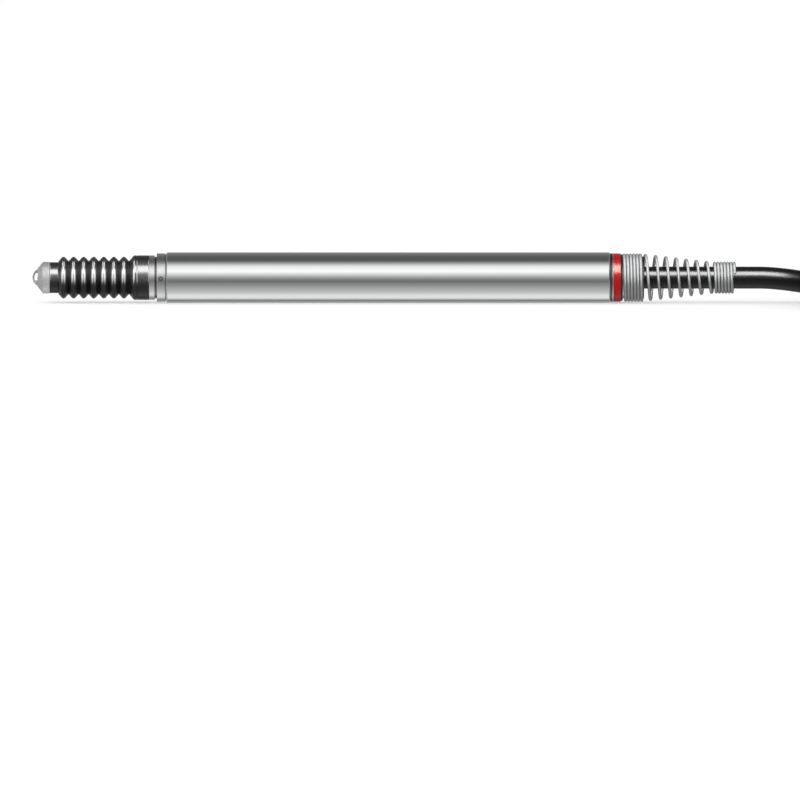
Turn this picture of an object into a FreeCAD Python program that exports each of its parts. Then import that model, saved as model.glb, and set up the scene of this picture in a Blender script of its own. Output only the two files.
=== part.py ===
# A pencil-type linear gauge probe with a clamping shank of 8 mm and a straight cable outlet.
# The probe's axis is X, with the contact ball towards -X and the cable towards +X. Up is +Z.
# The origin is on the axis, at the front end of the shank's cylindrical wall.
# The probe and its cable lie on a bench whose top is half a shank below the axis.
import FreeCAD, Part
import math
import os
import Sketcher
from FreeCAD import Placement, Rotation, Vector

document = FreeCAD.newDocument("linear_gauge_probe")

# Driving sizes in millimetres, and the counts of turns, folds and layers. Every other size and place is worked out from them.
SIZES = [
    # casing
    ("casing_diameter", 8.0),
    ("casing_wall", 0.5),
    ("casing_length", 70.0),
    ("casing_lead_in", 0.35),
    ("casing_edge", 0.15),
    # fits between pieces
    ("fixed_fit", 0.02),
    ("sliding_gap", 0.1),
    ("free_gap", 0.3),
    ("shank_step", 0.155),
    # front bush
    ("bush_collar_length", 1.31),
    ("bush_groove_depth", 0.225),
    ("bush_groove_length", 0.32),
    ("bush_shoulder", 0.375),
    ("bush_ring_length", 0.9),
    ("bush_spigot_length", 6.0),
    ("nose_wall", 0.33),
    ("nose_length", 2.1),
    ("spanner_hole_diameter", 0.6),
    # bellows
    ("fold_pitch", 1.59),
    ("fold_count", 7),
    ("fold_height", 0.695),
    ("crest_round", 0.3),
    ("bellows_wall", 0.35),
    ("bellows_gap", 0.225),
    ("front_cuff_wall", 0.38),
    ("front_cuff_length", 1.395),
    ("rear_cuff_wall", 0.36),
    ("rear_cuff_length", 2.32),
    ("rear_flank_length", 0.875),
    # contact point
    ("ball_diameter", 3.0),
    ("point_collar_diameter", 5.0),
    ("point_collar_length", 1.1),
    ("point_cone_length", 0.86),
    ("point_cone_base_diameter", 4.9),
    ("point_rim_diameter", 2.8),
    ("ball_setback", 0.14),
    ("point_thread_diameter", 2.46),
    ("point_thread_length", 3.4),
    # plunger and its guide
    ("plunger_diameter", 3.0),
    ("plunger_head_diameter", 4.1),
    ("plunger_head_length", 4.1),
    ("plunger_rear", 16.5),
    ("tapped_hole_depth", 3.9),
    ("guide_bush_wall", 0.48),
    ("guide_bush_front", 0.4),
    ("guide_bush_rear", 18.0),
    ("guide_lip_length", 0.5),
    ("guide_ball_diameter", 0.8),
    ("ball_fit", 0.01),
    ("cage_length", 8.0),
    ("cage_row_setback", 1.5),
    ("travel", 5.5),
    ("guide_pin_diameter", 0.8),
    ("guide_pin_setback", 2.2),
    ("guide_pin_inset", 0.15),
    # return spring
    ("spring_collar_length", 1.0),
    ("spring_space", 12.5),
    ("return_spring_diameter", 3.7),
    ("return_wire", 0.32),
    ("return_turns", 7),
    ("spring_seat_length", 1.0),
    # core
    ("core_rod_diameter", 1.2),
    ("core_root_diameter", 1.6),
    ("core_root_depth", 3.9),
    ("core_diameter", 2.2),
    ("core_length", 12.0),
    ("core_nut_diameter", 2.0),
    ("core_nut_length", 1.2),
    # coil
    ("spacer_wall", 0.5),
    ("bobbin_length", 22.5),
    ("bobbin_wall", 0.25),
    ("bobbin_flange", 0.8),
    ("winding_inset", 0.15),
    ("primary_length", 8.0),
    ("shield_gap", 0.18),
    ("shield_wall", 0.3),
    ("board_length", 4.6),
    ("board_thickness", 0.8),
    ("board_gap", 0.2),
    ("board_inset", 0.8),
    # rear end
    ("cap_spigot_length", 4.5),
    ("cap_flange_length", 0.55),
    ("cap_hub_length", 4.85),
    ("cap_wall", 0.33),
    ("cap_lip_length", 0.4),
    ("seal_section", 0.7),
    ("marking_ring_length", 1.15),
    ("rear_washer_inset", 0.145),
    ("rear_washer_length", 0.3),
    # strain relief spring
    ("relief_wire", 0.48),
    ("relief_front_length", 3.6),
    ("relief_front_turns", 7),
    ("relief_cone_length", 10.6),
    ("relief_turns", 6.6),
    ("relief_rear_diameter", 5.08),
    ("relief_rear_length", 3.7),
    ("relief_rear_turns", 7),
    # cable
    ("cable_diameter", 3.5),
    ("cable_core_diameter", 0.5),
    ("cable_core_spacing", 0.575),
    ("grommet_length", 8.0),
    ("grommet_bore_diameter", 2.0),
    ("fold_radius", 10.5),
    ("turn_gap", 0.05),
    ("hank_run", 64.0),
    ("hank_layers", 5),
    ("tie_width", 10.0),
    ("tie_thickness", 0.8),
    # connector
    ("coupling_ring_diameter", 12.0),
    ("coupling_ring_length", 19.0),
    ("coupling_ring_lip", 3.0),
    ("coupling_ring_wall", 0.5),
    ("shell_diameter", 10.8),
    ("shell_length", 10.0),
    ("shell_journal_diameter", 9.6),
    ("shell_nose_length", 10.0),
    ("shell_nose_wall", 0.58),
    ("retaining_flange_gap", 0.2),
    ("retaining_flange_length", 1.2),
    ("boot_length", 11.0),
    ("boot_root_length", 2.75),
    ("boot_tip_diameter", 4.8),
    ("boot_root_diameter", 8.4),
    ("insert_length", 7.0),
    ("contact_pin_diameter", 1.0),
    ("contact_pin_reach", 3.2),
    ("contact_pin_circle", 5.0),
]

sheet = document.addObject("Spreadsheet::Sheet", "Sizes")
for row, (alias, value) in enumerate(SIZES, start=1):
    sheet.set("A%d" % row, alias)
    sheet.set("B%d" % row, str(value))
    sheet.setAlias("B%d" % row, alias)
document.recompute()


class Size:
    """A length with its value in millimetres and the expression that binds it to the sheet."""

    def __init__(self, value, text):
        self.value = value
        self.text = text

    def __add__(self, other):
        other = as_size(other)
        return Size(self.value + other.value, "(%s + %s)" % (self.text, other.text))

    def __sub__(self, other):
        other = as_size(other)
        return Size(self.value - other.value, "(%s - %s)" % (self.text, other.text))

    def __mul__(self, other):
        other = as_size(other)
        return Size(self.value * other.value, "(%s * %s)" % (self.text, other.text))

    def __truediv__(self, other):
        other = as_size(other)
        return Size(self.value / other.value, "(%s / %s)" % (self.text, other.text))

    def __neg__(self):
        return Size(-self.value, "(0 - %s)" % self.text)


def as_size(number):
    """A plain number as a Size, and a Size as it is."""
    return number if isinstance(number, Size) else Size(float(number), repr(number))


def size(alias):
    """The driving size of this name."""
    return Size(float(sheet.get(alias)), "Sizes." + alias)


def radius(alias):
    """Half of the driving diameter of this name."""
    return size(alias) / 2


def half_chord(circle_radius, height):
    """Half of a circle's chord at this height above the circle's centre."""
    return Size(
        math.sqrt(circle_radius.value**2 - height.value**2),
        "sqrt((%s)^2 - (%s)^2)" % (circle_radius.text, height.text),
    )


def plane(body, role):
    """One of a body's own origin planes or axes."""
    return next(item for item in body.Origin.OriginFeatures if item.Role == role)


def new_body(name):
    """An empty body, named as its piece."""
    body = document.addObject("PartDesign::Body", name)
    body.Label = name
    return body


def new_sketch(body, name, role="XZ_Plane", lift=None):
    """A sketch on an origin plane of the body, lifted off it by a size."""
    sketch = body.newObject("Sketcher::SketchObject", body.Name + "_" + name)
    sketch.AttachmentSupport = [(plane(body, role), "")]
    sketch.MapMode = "FlatFace"
    if lift is not None:
        sketch.setExpression(".AttachmentOffset.Base.z", lift.text)
    return sketch


def hold(sketch, kind, where, length):
    """A dimension of a sketch, bound to its size."""
    index = sketch.addConstraint(Sketcher.Constraint(kind, *where, length.value))
    sketch.setExpression("Constraints[%d]" % index, length.text)


def place_point(sketch, line, end, along, across):
    """Dimensions a point from the sketch's origin, or puts it on an axis where a distance is nought."""
    if along is not None:
        if along.text == "0.0":
            sketch.addConstraint(Sketcher.Constraint("PointOnObject", line, end, -2))
        else:
            hold(sketch, "DistanceX", (-1, 1, line, end), along)
    if across is not None:
        if across.text == "0.0":
            sketch.addConstraint(Sketcher.Constraint("PointOnObject", line, end, -1))
        else:
            hold(sketch, "DistanceY", (-1, 1, line, end), across)


def draw_outline(sketch, points):
    """A closed outline of straight lines through points given as pairs of sizes."""
    first_line = sketch.GeometryCount
    points = [(as_size(x), as_size(y)) for x, y in points]
    corners = [Vector(x.value, y.value, 0) for x, y in points]
    for start, end in zip(corners, corners[1:] + corners[:1]):
        sketch.addGeometry(Part.LineSegment(start, end))
    for step in range(len(points)):
        following = first_line + (step + 1) % len(points)
        sketch.addConstraint(
            Sketcher.Constraint("Coincident", first_line + step, 2, following, 1)
        )
    for step, (x, y) in enumerate(points):
        line = first_line + step
        before_x, before_y = points[step - 1] if step else (None, None)
        same_x = step > 0 and x.text == before_x.text
        same_y = step > 0 and y.text == before_y.text
        if same_x:
            sketch.addConstraint(Sketcher.Constraint("Vertical", line - 1))
        if same_y:
            sketch.addConstraint(Sketcher.Constraint("Horizontal", line - 1))
        place_point(sketch, line, 1, None if same_x else x, None if same_y else y)


def draw_circle(sketch, x, y, circle_radius):
    """A circle, its centre and radius dimensioned."""
    x, y = as_size(x), as_size(y)
    centre = Vector(x.value, y.value, 0)
    circle = sketch.addGeometry(Part.Circle(centre, Vector(0, 0, 1), circle_radius.value))
    place_point(sketch, circle, 3, x, y)
    hold(sketch, "Radius", (circle,), circle_radius)


def draw_half_disc(sketch, x, disc_radius):
    """Half a disc on the sketch's X axis, which turned about it is a ball."""
    centre = Vector(x.value, 0, 0)
    side = Vector(disc_radius.value, 0, 0)
    sketch.addGeometry(
        Part.ArcOfCircle(Part.Circle(centre, Vector(0, 0, 1), disc_radius.value), 0, math.pi)
    )
    sketch.addGeometry(Part.LineSegment(centre - side, centre + side))
    sketch.addConstraint(Sketcher.Constraint("Coincident", 0, 2, 1, 1))
    sketch.addConstraint(Sketcher.Constraint("Coincident", 1, 2, 0, 1))
    sketch.addConstraint(Sketcher.Constraint("PointOnObject", 0, 3, -1))
    sketch.addConstraint(Sketcher.Constraint("PointOnObject", 0, 1, -1))
    sketch.addConstraint(Sketcher.Constraint("PointOnObject", 0, 2, -1))
    hold(sketch, "DistanceX", (-1, 1, 0, 3), x)
    hold(sketch, "Radius", (0,), disc_radius)


def draw_stadium(sketch, left, right, y, end_radius):
    """Two half circles joined by two straight lines along X, between the given centres."""
    left, right, y = as_size(left), as_size(right), as_size(y)
    first = Vector(left.value, y.value, 0)
    second = Vector(right.value, y.value, 0)
    up = Vector(0, end_radius.value, 0)
    normal = Vector(0, 0, 1)
    quarter = math.pi / 2
    sketch.addGeometry(Part.LineSegment(first + up, second + up))
    sketch.addGeometry(
        Part.ArcOfCircle(Part.Circle(second, normal, end_radius.value), -quarter, quarter)
    )
    sketch.addGeometry(Part.LineSegment(second - up, first - up))
    sketch.addGeometry(
        Part.ArcOfCircle(Part.Circle(first, normal, end_radius.value), quarter, 3 * quarter)
    )
    sketch.addConstraint(Sketcher.Constraint("Tangent", 0, 2, 1, 2))
    sketch.addConstraint(Sketcher.Constraint("Tangent", 1, 1, 2, 1))
    sketch.addConstraint(Sketcher.Constraint("Tangent", 2, 2, 3, 2))
    sketch.addConstraint(Sketcher.Constraint("Tangent", 3, 1, 0, 1))
    sketch.addConstraint(Sketcher.Constraint("Horizontal", 0))
    place_point(sketch, 3, 3, left, y)
    place_point(sketch, 1, 3, right, None)
    hold(sketch, "Radius", (1,), end_radius)


def turn(body, sketch, kind="Revolution"):
    """Turns a sketch about the probe's axis, to add material or to groove it away."""
    feature = body.newObject("PartDesign::" + kind, sketch.Name + "_turned")
    feature.Profile = sketch
    feature.ReferenceAxis = (sketch, ["H_Axis"])
    feature.Angle = 360.0
    body.Tip = feature
    return feature


def turned(name, outline, axis_place=None):
    """A turned piece, its half section given as pairs of place on the axis and radius."""
    body = new_body(name)
    sketch = new_sketch(body, "section")
    draw_outline(sketch, outline)
    turn(body, sketch)
    if axis_place is not None:
        for letter, place in zip("xyz", axis_place):
            body.setExpression(".Placement.Base." + letter, as_size(place).text)
    return body


def tube(name, start, end, inner, outer, axis_place=None):
    """A plain turned ring or sleeve between two places on the axis."""
    outline = [(start, inner), (end, inner), (end, outer), (start, outer)]
    return turned(name, outline, axis_place)


def push(body, sketch, kind, length=None, reverse=False):
    """Pads a sketch by a length, or pockets it by a length or right through."""
    feature = body.newObject("PartDesign::" + kind, sketch.Name + "_" + kind.lower())
    feature.Profile = sketch
    if length is None:
        feature.Type = "ThroughAll"
    else:
        feature.Type = "Length"
        feature.setExpression("Length", length.text)
    feature.Reversed = reverse
    body.Tip = feature
    return feature


def repeat_round(body, feature, count):
    """Copies of a feature spread evenly round the probe's axis."""
    document.recompute()
    pattern = body.newObject("PartDesign::PolarPattern", feature.Name + "_round")
    pattern.Originals = [feature]
    pattern.Axis = (plane(body, "X_Axis"), [""])
    pattern.Angle = 360.0
    pattern.Occurrences = count
    body.Tip = pattern
    return pattern


def repeat_along(body, feature, pitch, count):
    """Copies of a feature along the probe's axis, a pitch apart."""
    document.recompute()
    pattern = body.newObject("PartDesign::LinearPattern", feature.Name + "_along")
    pattern.Originals = [feature]
    pattern.Direction = (plane(body, "X_Axis"), [""])
    pattern.Mode = "Spacing"
    pattern.setExpression("Offset", pitch.text)
    pattern.setExpression("Occurrences", count.text)
    body.Tip = pattern
    return pattern


# Places on the axis, from the front end of the shank's wall
casing_front = -size("casing_lead_in")
casing_rear = size("casing_length")
groove_rear = casing_front - size("bush_collar_length")
groove_front = groove_rear - size("bush_groove_length")
bush_front = groove_front - size("bush_ring_length")
rear_cuff_front = bush_front - size("rear_cuff_length")
folds_rear = rear_cuff_front - size("rear_flank_length")
folds_front = folds_rear - size("fold_pitch") * size("fold_count")
point_rear = folds_front - size("front_cuff_length")
casing_bore = radius("casing_diameter") - size("casing_wall")
bore_seat = casing_bore - size("fixed_fit")
below_shank = radius("casing_diameter") - size("shank_step")
race = radius("plunger_diameter") + size("guide_ball_diameter") + size("ball_fit") * 2
guide_outer = race + size("guide_bush_wall")

# Casing: one ground steel tube, which is the clamping shank
turned(
    "casing_tube",
    [
        (casing_front, casing_bore),
        (casing_rear, casing_bore),
        (casing_rear, radius("casing_diameter") - size("casing_edge")),
        (casing_rear - size("casing_edge"), radius("casing_diameter")),
        (0, radius("casing_diameter")),
        (casing_front, radius("casing_diameter") - size("casing_lead_in")),
    ],
)

# Front bush: screwed into the casing, with a nose for the bellows and holes for a pin spanner
bush_bore = guide_outer + size("fixed_fit")
nose = bush_bore + size("nose_wall")
bush_ring = nose + size("bush_shoulder")
bush_groove = bush_ring - size("bush_groove_depth")
front_bush = turned(
    "front_bush",
    [
        (bush_front - size("nose_length"), bush_bore),
        (casing_front + size("bush_spigot_length"), bush_bore),
        (casing_front + size("bush_spigot_length"), bore_seat),
        (casing_front, bore_seat),
        (casing_front, below_shank),
        (groove_rear, below_shank),
        (groove_rear, bush_groove),
        (groove_front, bush_groove),
        (groove_front, bush_ring),
        (bush_front, bush_ring),
        (bush_front, nose),
        (bush_front - size("nose_length"), nose),
    ],
)
hole_sketch = new_sketch(front_bush, "spanner_hole")
draw_circle(
    hole_sketch,
    groove_rear + size("bush_collar_length") / 2,
    0,
    radius("spanner_hole_diameter"),
)
repeat_round(front_bush, push(front_bush, hole_sketch, "Pocket"), 2)

# Bellows: moulded rubber, with a cuff on the contact point's side and one on the bush's nose
bellows = new_body("bellows")
fold_bore = radius("plunger_head_diameter") + size("bellows_gap")
valley = fold_bore + size("bellows_wall")
crest = valley + size("fold_height")
half_pitch = size("fold_pitch") / 2
cuff_bore = radius("plunger_head_diameter") + size("fixed_fit")
cuff_sketch = new_sketch(bellows, "front_cuff")
draw_outline(
    cuff_sketch,
    [
        (point_rear, cuff_bore),
        (folds_front, cuff_bore),
        (folds_front, cuff_bore + size("front_cuff_wall")),
        (point_rear, cuff_bore + size("front_cuff_wall")),
    ],
)
turn(bellows, cuff_sketch)


def draw_fold(sketch, middle):
    """One fold's section: two flanks tangent to a round crest, on a base at the valleys' radius."""
    rounding = size("crest_round")
    rise = crest.value - rounding.value - valley.value
    reach = math.hypot(half_pitch.value, rise)
    lean = math.atan2(rise, half_pitch.value) + math.asin(rounding.value / reach)
    centre = Vector(middle.value, crest.value - rounding.value, 0)
    touch = Vector(math.sin(lean), math.cos(lean), 0) * rounding.value
    left = Vector(middle.value - half_pitch.value, valley.value, 0)
    right = Vector(middle.value + half_pitch.value, valley.value, 0)
    down = Vector(0, size("bellows_wall").value, 0)
    normal = Vector(0, 0, 1)
    quarter = math.pi / 2
    sketch.addGeometry(Part.LineSegment(left - down, left))
    sketch.addGeometry(Part.LineSegment(left, centre + Vector(-touch.x, touch.y, 0)))
    sketch.addGeometry(
        Part.ArcOfCircle(
            Part.Circle(centre, normal, rounding.value), quarter - lean, quarter + lean
        )
    )
    sketch.addGeometry(Part.LineSegment(centre + touch, right))
    sketch.addGeometry(Part.LineSegment(right, right - down))
    sketch.addGeometry(Part.LineSegment(right - down, left - down))
    sketch.addConstraint(Sketcher.Constraint("Coincident", 0, 2, 1, 1))
    sketch.addConstraint(Sketcher.Constraint("Tangent", 1, 2, 2, 2))
    sketch.addConstraint(Sketcher.Constraint("Tangent", 2, 1, 3, 1))
    sketch.addConstraint(Sketcher.Constraint("Coincident", 3, 2, 4, 1))
    sketch.addConstraint(Sketcher.Constraint("Coincident", 4, 2, 5, 1))
    sketch.addConstraint(Sketcher.Constraint("Coincident", 5, 2, 0, 1))
    sketch.addConstraint(Sketcher.Constraint("Vertical", 0))
    sketch.addConstraint(Sketcher.Constraint("Vertical", 4))
    place_point(sketch, 1, 1, middle - half_pitch, valley)
    place_point(sketch, 3, 2, middle + half_pitch, valley)
    place_point(sketch, 0, 1, None, fold_bore)
    place_point(sketch, 4, 2, None, fold_bore)
    place_point(sketch, 2, 3, middle, crest - rounding)
    hold(sketch, "Radius", (2,), rounding)


first_fold = folds_front + half_pitch
fold_sketch = new_sketch(bellows, "fold")
draw_fold(fold_sketch, first_fold)
repeat_along(bellows, turn(bellows, fold_sketch), size("fold_pitch"), size("fold_count"))
rear_cuff_sketch = new_sketch(bellows, "rear_cuff")
nose_seat = nose + size("fixed_fit")
rear_cuff = nose_seat + size("rear_cuff_wall")
draw_outline(
    rear_cuff_sketch,
    [
        (folds_rear, fold_bore),
        (rear_cuff_front, nose_seat),
        (bush_front, nose_seat),
        (bush_front, rear_cuff),
        (rear_cuff_front, rear_cuff),
        (folds_rear, valley),
    ],
)
turn(bellows, rear_cuff_sketch)
inside_sketch = new_sketch(bellows, "fold_inside")
crest_inside = crest - size("bellows_wall")
fold_mouth = half_pitch - size("bellows_wall") / 2
under_bore = fold_bore - size("bellows_wall")
draw_outline(
    inside_sketch,
    [
        (first_fold - fold_mouth, fold_bore),
        (first_fold, crest_inside),
        (first_fold + fold_mouth, fold_bore),
        (first_fold + fold_mouth, under_bore),
        (first_fold - fold_mouth, under_bore),
    ],
)
inside = turn(bellows, inside_sketch, "Groove")
repeat_along(bellows, inside, size("fold_pitch"), size("fold_count"))

# Contact point: a steel holder screwed into the plunger, its rim closed over a hard ball
cone_rear = point_rear - size("point_collar_length")
point_front = cone_rear - size("point_cone_length")
ball_centre = cone_rear - size("ball_setback")
contact_point = turned(
    "contact_point",
    [
        (point_front, 0),
        (point_rear + size("point_thread_length"), 0),
        (point_rear + size("point_thread_length"), radius("point_thread_diameter")),
        (point_rear, radius("point_thread_diameter")),
        (point_rear, radius("point_collar_diameter")),
        (cone_rear, radius("point_collar_diameter")),
        (cone_rear, radius("point_cone_base_diameter")),
        (point_front, radius("point_rim_diameter")),
    ],
)
socket_sketch = new_sketch(contact_point, "socket")
draw_half_disc(socket_sketch, ball_centre, radius("ball_diameter") + size("ball_fit"))
turn(contact_point, socket_sketch, "Groove")

contact_ball = document.addObject("Part::Sphere", "contact_ball")
contact_ball.setExpression("Radius", radius("ball_diameter").text)
contact_ball.setExpression(".Placement.Base.x", ball_centre.text)

# Plunger shaft: a tapped head for the contact point, a ground shank and a bore for the core rod
plunger_rear = size("plunger_rear")
head_rear = point_rear + size("plunger_head_length")
tapped_rear = point_rear + size("tapped_hole_depth")
tapped_radius = radius("point_thread_diameter") + size("fixed_fit")
root_bore = radius("core_root_diameter") + size("fixed_fit")
root_front = plunger_rear - size("core_root_depth")
plunger_shaft = turned(
    "plunger_shaft",
    [
        (point_rear, tapped_radius),
        (tapped_rear, tapped_radius),
        (tapped_rear, 0),
        (root_front - size("sliding_gap"), 0),
        (root_front - size("sliding_gap"), root_bore),
        (plunger_rear, root_bore),
        (plunger_rear, radius("plunger_diameter")),
        (head_rear, radius("plunger_diameter")),
        (head_rear, radius("plunger_head_diameter")),
        (point_rear, radius("plunger_head_diameter")),
    ],
)
pin_hole_sketch = new_sketch(plunger_shaft, "pin_hole", "XY_Plane")
pin_seat = radius("guide_pin_diameter") + size("fixed_fit")
pin_place = root_front - size("guide_pin_setback")
draw_circle(pin_hole_sketch, pin_place, 0, pin_seat)
repeat_round(plunger_shaft, push(plunger_shaft, pin_hole_sketch, "Pocket"), 2)

# Guide bush: a hard sleeve with the ball race, a front lip and two slots for the guide pin
guide_front = bush_front - size("nose_length") + size("guide_bush_front")
guide_rear = size("guide_bush_rear")
lip_rear = guide_front + size("guide_lip_length")
lip_bore = radius("plunger_diameter") + size("free_gap")
guide_bush = turned(
    "guide_bush",
    [
        (guide_front, lip_bore),
        (lip_rear, lip_bore),
        (lip_rear, race),
        (guide_rear, race),
        (guide_rear, guide_outer),
        (guide_front, guide_outer),
    ],
)
slot_sketch = new_sketch(guide_bush, "pin_slot", "XY_Plane")
slot_radius = radius("guide_pin_diameter") + size("sliding_gap") / 2
slot_front = pin_place - size("sliding_gap") / 2
slot_rear = pin_place + size("travel") + size("sliding_gap") / 2
draw_stadium(slot_sketch, slot_front, slot_rear, 0, slot_radius)
repeat_round(guide_bush, push(guide_bush, slot_sketch, "Pocket"), 2)

guide_pin = document.addObject("Part::Cylinder", "guide_pin")
pin_reach = guide_outer - size("guide_pin_inset")
guide_pin.setExpression("Radius", radius("guide_pin_diameter").text)
guide_pin.setExpression("Height", (pin_reach * 2).text)
guide_pin.setExpression(".Placement.Base.x", pin_place.text)
guide_pin.setExpression(".Placement.Base.z", (-pin_reach).text)

# Ball guide: a brass cage with two rows of three steel balls that roll in the race
cage_front = lip_rear + size("sliding_gap") * 2
cage_inner = radius("plunger_diameter") + size("sliding_gap")
cage_outer = race - size("sliding_gap")
ball_cage = tube(
    "ball_cage", cage_front, cage_front + size("cage_length"), cage_inner, cage_outer
)
first_row = cage_front + size("cage_row_setback")
second_row = cage_front + size("cage_length") - size("cage_row_setback")
pocket_sketch = new_sketch(ball_cage, "ball_pockets", "XY_Plane")
pocket_radius = radius("guide_ball_diameter") + size("sliding_gap") / 2
draw_circle(pocket_sketch, first_row, 0, pocket_radius)
circle = pocket_sketch.addGeometry(
    Part.Circle(Vector(second_row.value, 0, 0), Vector(0, 0, 1), pocket_radius.value)
)
place_point(pocket_sketch, circle, 3, second_row, as_size(0))
pocket_sketch.addConstraint(Sketcher.Constraint("Equal", 0, circle))
BALLS_IN_ROW = 3
pockets = push(ball_cage, pocket_sketch, "Pocket", reverse=True)
repeat_round(ball_cage, pockets, BALLS_IN_ROW)

ball_circle = radius("plunger_diameter") + radius("guide_ball_diameter") + size("ball_fit")
guide_balls = document.addObject("Part::Compound", "guide_balls")
balls = []
for row_name, row_place in (("front", first_row), ("rear", second_row)):
    for step in range(BALLS_IN_ROW):
        turned_by = math.radians(90 + 360 * step / BALLS_IN_ROW)
        ball = document.addObject("Part::Sphere", "%s_guide_ball_%d" % (row_name, step))
        ball.setExpression("Radius", radius("guide_ball_diameter").text)
        ball.setExpression(".Placement.Base.x", row_place.text)
        across = ball_circle * round(math.cos(turned_by), 12)
        up = ball_circle * round(math.sin(turned_by), 12)
        ball.setExpression(".Placement.Base.y", across.text)
        ball.setExpression(".Placement.Base.z", up.text)
        balls.append(ball)
guide_balls.Links = balls

# Return spring between the plunger's collar and a fixed seat
collar_rear = plunger_rear + size("spring_collar_length")
seat_front = collar_rear + size("spring_space")
seat_rear = seat_front + size("spring_seat_length")
tube(
    "spring_collar",
    plunger_rear,
    collar_rear,
    root_bore,
    race - size("free_gap"),
)
tube(
    "spring_seat",
    seat_front,
    seat_rear,
    radius("core_rod_diameter") + size("free_gap"),
    bore_seat,
)


WIRE_SIDES = 6


def wind(body, rear, length, wire_radius, wire, turns, growth):
    """Winds a wire's helix from its rear end forwards, with a six-sided section."""
    sketch = new_sketch(body, "wire")
    centre = Vector(rear.value, wire_radius.value, 0)
    corners = []
    for step in range(WIRE_SIDES):
        lean = math.radians(360 * step / WIRE_SIDES)
        corners.append(centre + Vector(math.cos(lean), math.sin(lean), 0) * (wire.value / 2))
    for first, second in zip(corners, corners[1:] + corners[:1]):
        sketch.addGeometry(Part.LineSegment(first, second))
    rim = sketch.addGeometry(Part.Circle(centre, Vector(0, 0, 1), wire.value / 2), True)
    for line in range(WIRE_SIDES):
        following = (line + 1) % WIRE_SIDES
        sketch.addConstraint(Sketcher.Constraint("Coincident", line, 2, following, 1))
        sketch.addConstraint(Sketcher.Constraint("PointOnObject", line, 1, rim))
    for line in range(1, WIRE_SIDES):
        sketch.addConstraint(Sketcher.Constraint("Equal", 0, line))
    sketch.addConstraint(Sketcher.Constraint("Horizontal", 1))
    place_point(sketch, rim, 3, rear, wire_radius)
    hold(sketch, "Diameter", (rim,), wire)
    helix = body.newObject("PartDesign::AdditiveHelix", sketch.Name + "_wound")
    helix.Profile = sketch
    helix.ReferenceAxis = (sketch, ["H_Axis"])
    helix.Mode = "height-turns-growth"
    helix.Reversed = True
    helix.setExpression("Height", length.text)
    helix.setExpression("Turns", turns.text)
    helix.setExpression("Growth", (growth / turns).text)
    body.Tip = helix
    return helix


return_spring = new_body("return_spring")
coil_middle = radius("return_spring_diameter") - size("return_wire") / 2
for end_name, end_front in (
    ("front", collar_rear),
    ("rear", seat_front - size("return_wire")),
):
    end_sketch = new_sketch(return_spring, end_name + "_end_turn")
    end_rear = end_front + size("return_wire")
    end_inner = radius("return_spring_diameter") - size("return_wire")
    draw_outline(
        end_sketch,
        [
            (end_front, end_inner),
            (end_rear, end_inner),
            (end_rear, radius("return_spring_diameter")),
            (end_front, radius("return_spring_diameter")),
        ],
    )
    turn(return_spring, end_sketch)
wind(
    return_spring,
    seat_front - size("return_wire") / 2,
    size("spring_space") - size("return_wire"),
    coil_middle,
    size("return_wire"),
    size("return_turns"),
    as_size(0),
)

# Coil: a moulded bobbin with four flanges, three windings and a shield over them
cap_front = casing_rear - size("cap_spigot_length")
board_rear = cap_front + size("board_inset")
board_front = board_rear - size("board_length")
bobbin_rear = board_front - size("board_gap")
bobbin_front = bobbin_rear - size("bobbin_length")
bobbin_bore = radius("core_diameter") + size("free_gap")
bobbin_neck = bobbin_bore + size("bobbin_wall")
shield_outer = casing_bore - size("shield_gap")
shield_bore = shield_outer - size("shield_wall")
flange = shield_bore - size("fixed_fit")
coil_middle_place = (bobbin_front + bobbin_rear) / 2
inner_front = coil_middle_place - size("primary_length") / 2
inner_rear = coil_middle_place + size("primary_length") / 2
turned(
    "coil_bobbin",
    [
        (bobbin_front, bobbin_bore),
        (bobbin_rear, bobbin_bore),
        (bobbin_rear, flange),
        (bobbin_rear - size("bobbin_flange"), flange),
        (bobbin_rear - size("bobbin_flange"), bobbin_neck),
        (inner_rear + size("bobbin_flange"), bobbin_neck),
        (inner_rear + size("bobbin_flange"), flange),
        (inner_rear, flange),
        (inner_rear, bobbin_neck),
        (inner_front, bobbin_neck),
        (inner_front, flange),
        (inner_front - size("bobbin_flange"), flange),
        (inner_front - size("bobbin_flange"), bobbin_neck),
        (bobbin_front + size("bobbin_flange"), bobbin_neck),
        (bobbin_front + size("bobbin_flange"), flange),
        (bobbin_front, flange),
    ],
)
winding_bore = bobbin_neck + size("fixed_fit")
for winding_name, winding_front, winding_rear in (
    (
        "secondary_winding_front",
        bobbin_front + size("bobbin_flange"),
        inner_front - size("bobbin_flange"),
    ),
    ("primary_winding", inner_front, inner_rear),
    (
        "secondary_winding_rear",
        inner_rear + size("bobbin_flange"),
        bobbin_rear - size("bobbin_flange"),
    ),
):
    tube(
        winding_name, winding_front, winding_rear, winding_bore, flange - size("winding_inset")
    )
tube("shield_sleeve", bobbin_front, bobbin_rear, shield_bore, shield_outer)

# Spacer: a sleeve that holds the coil and the spring's seat apart
tube("spacer_sleeve", seat_rear, bobbin_front, bore_seat - size("spacer_wall"), bore_seat)

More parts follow.
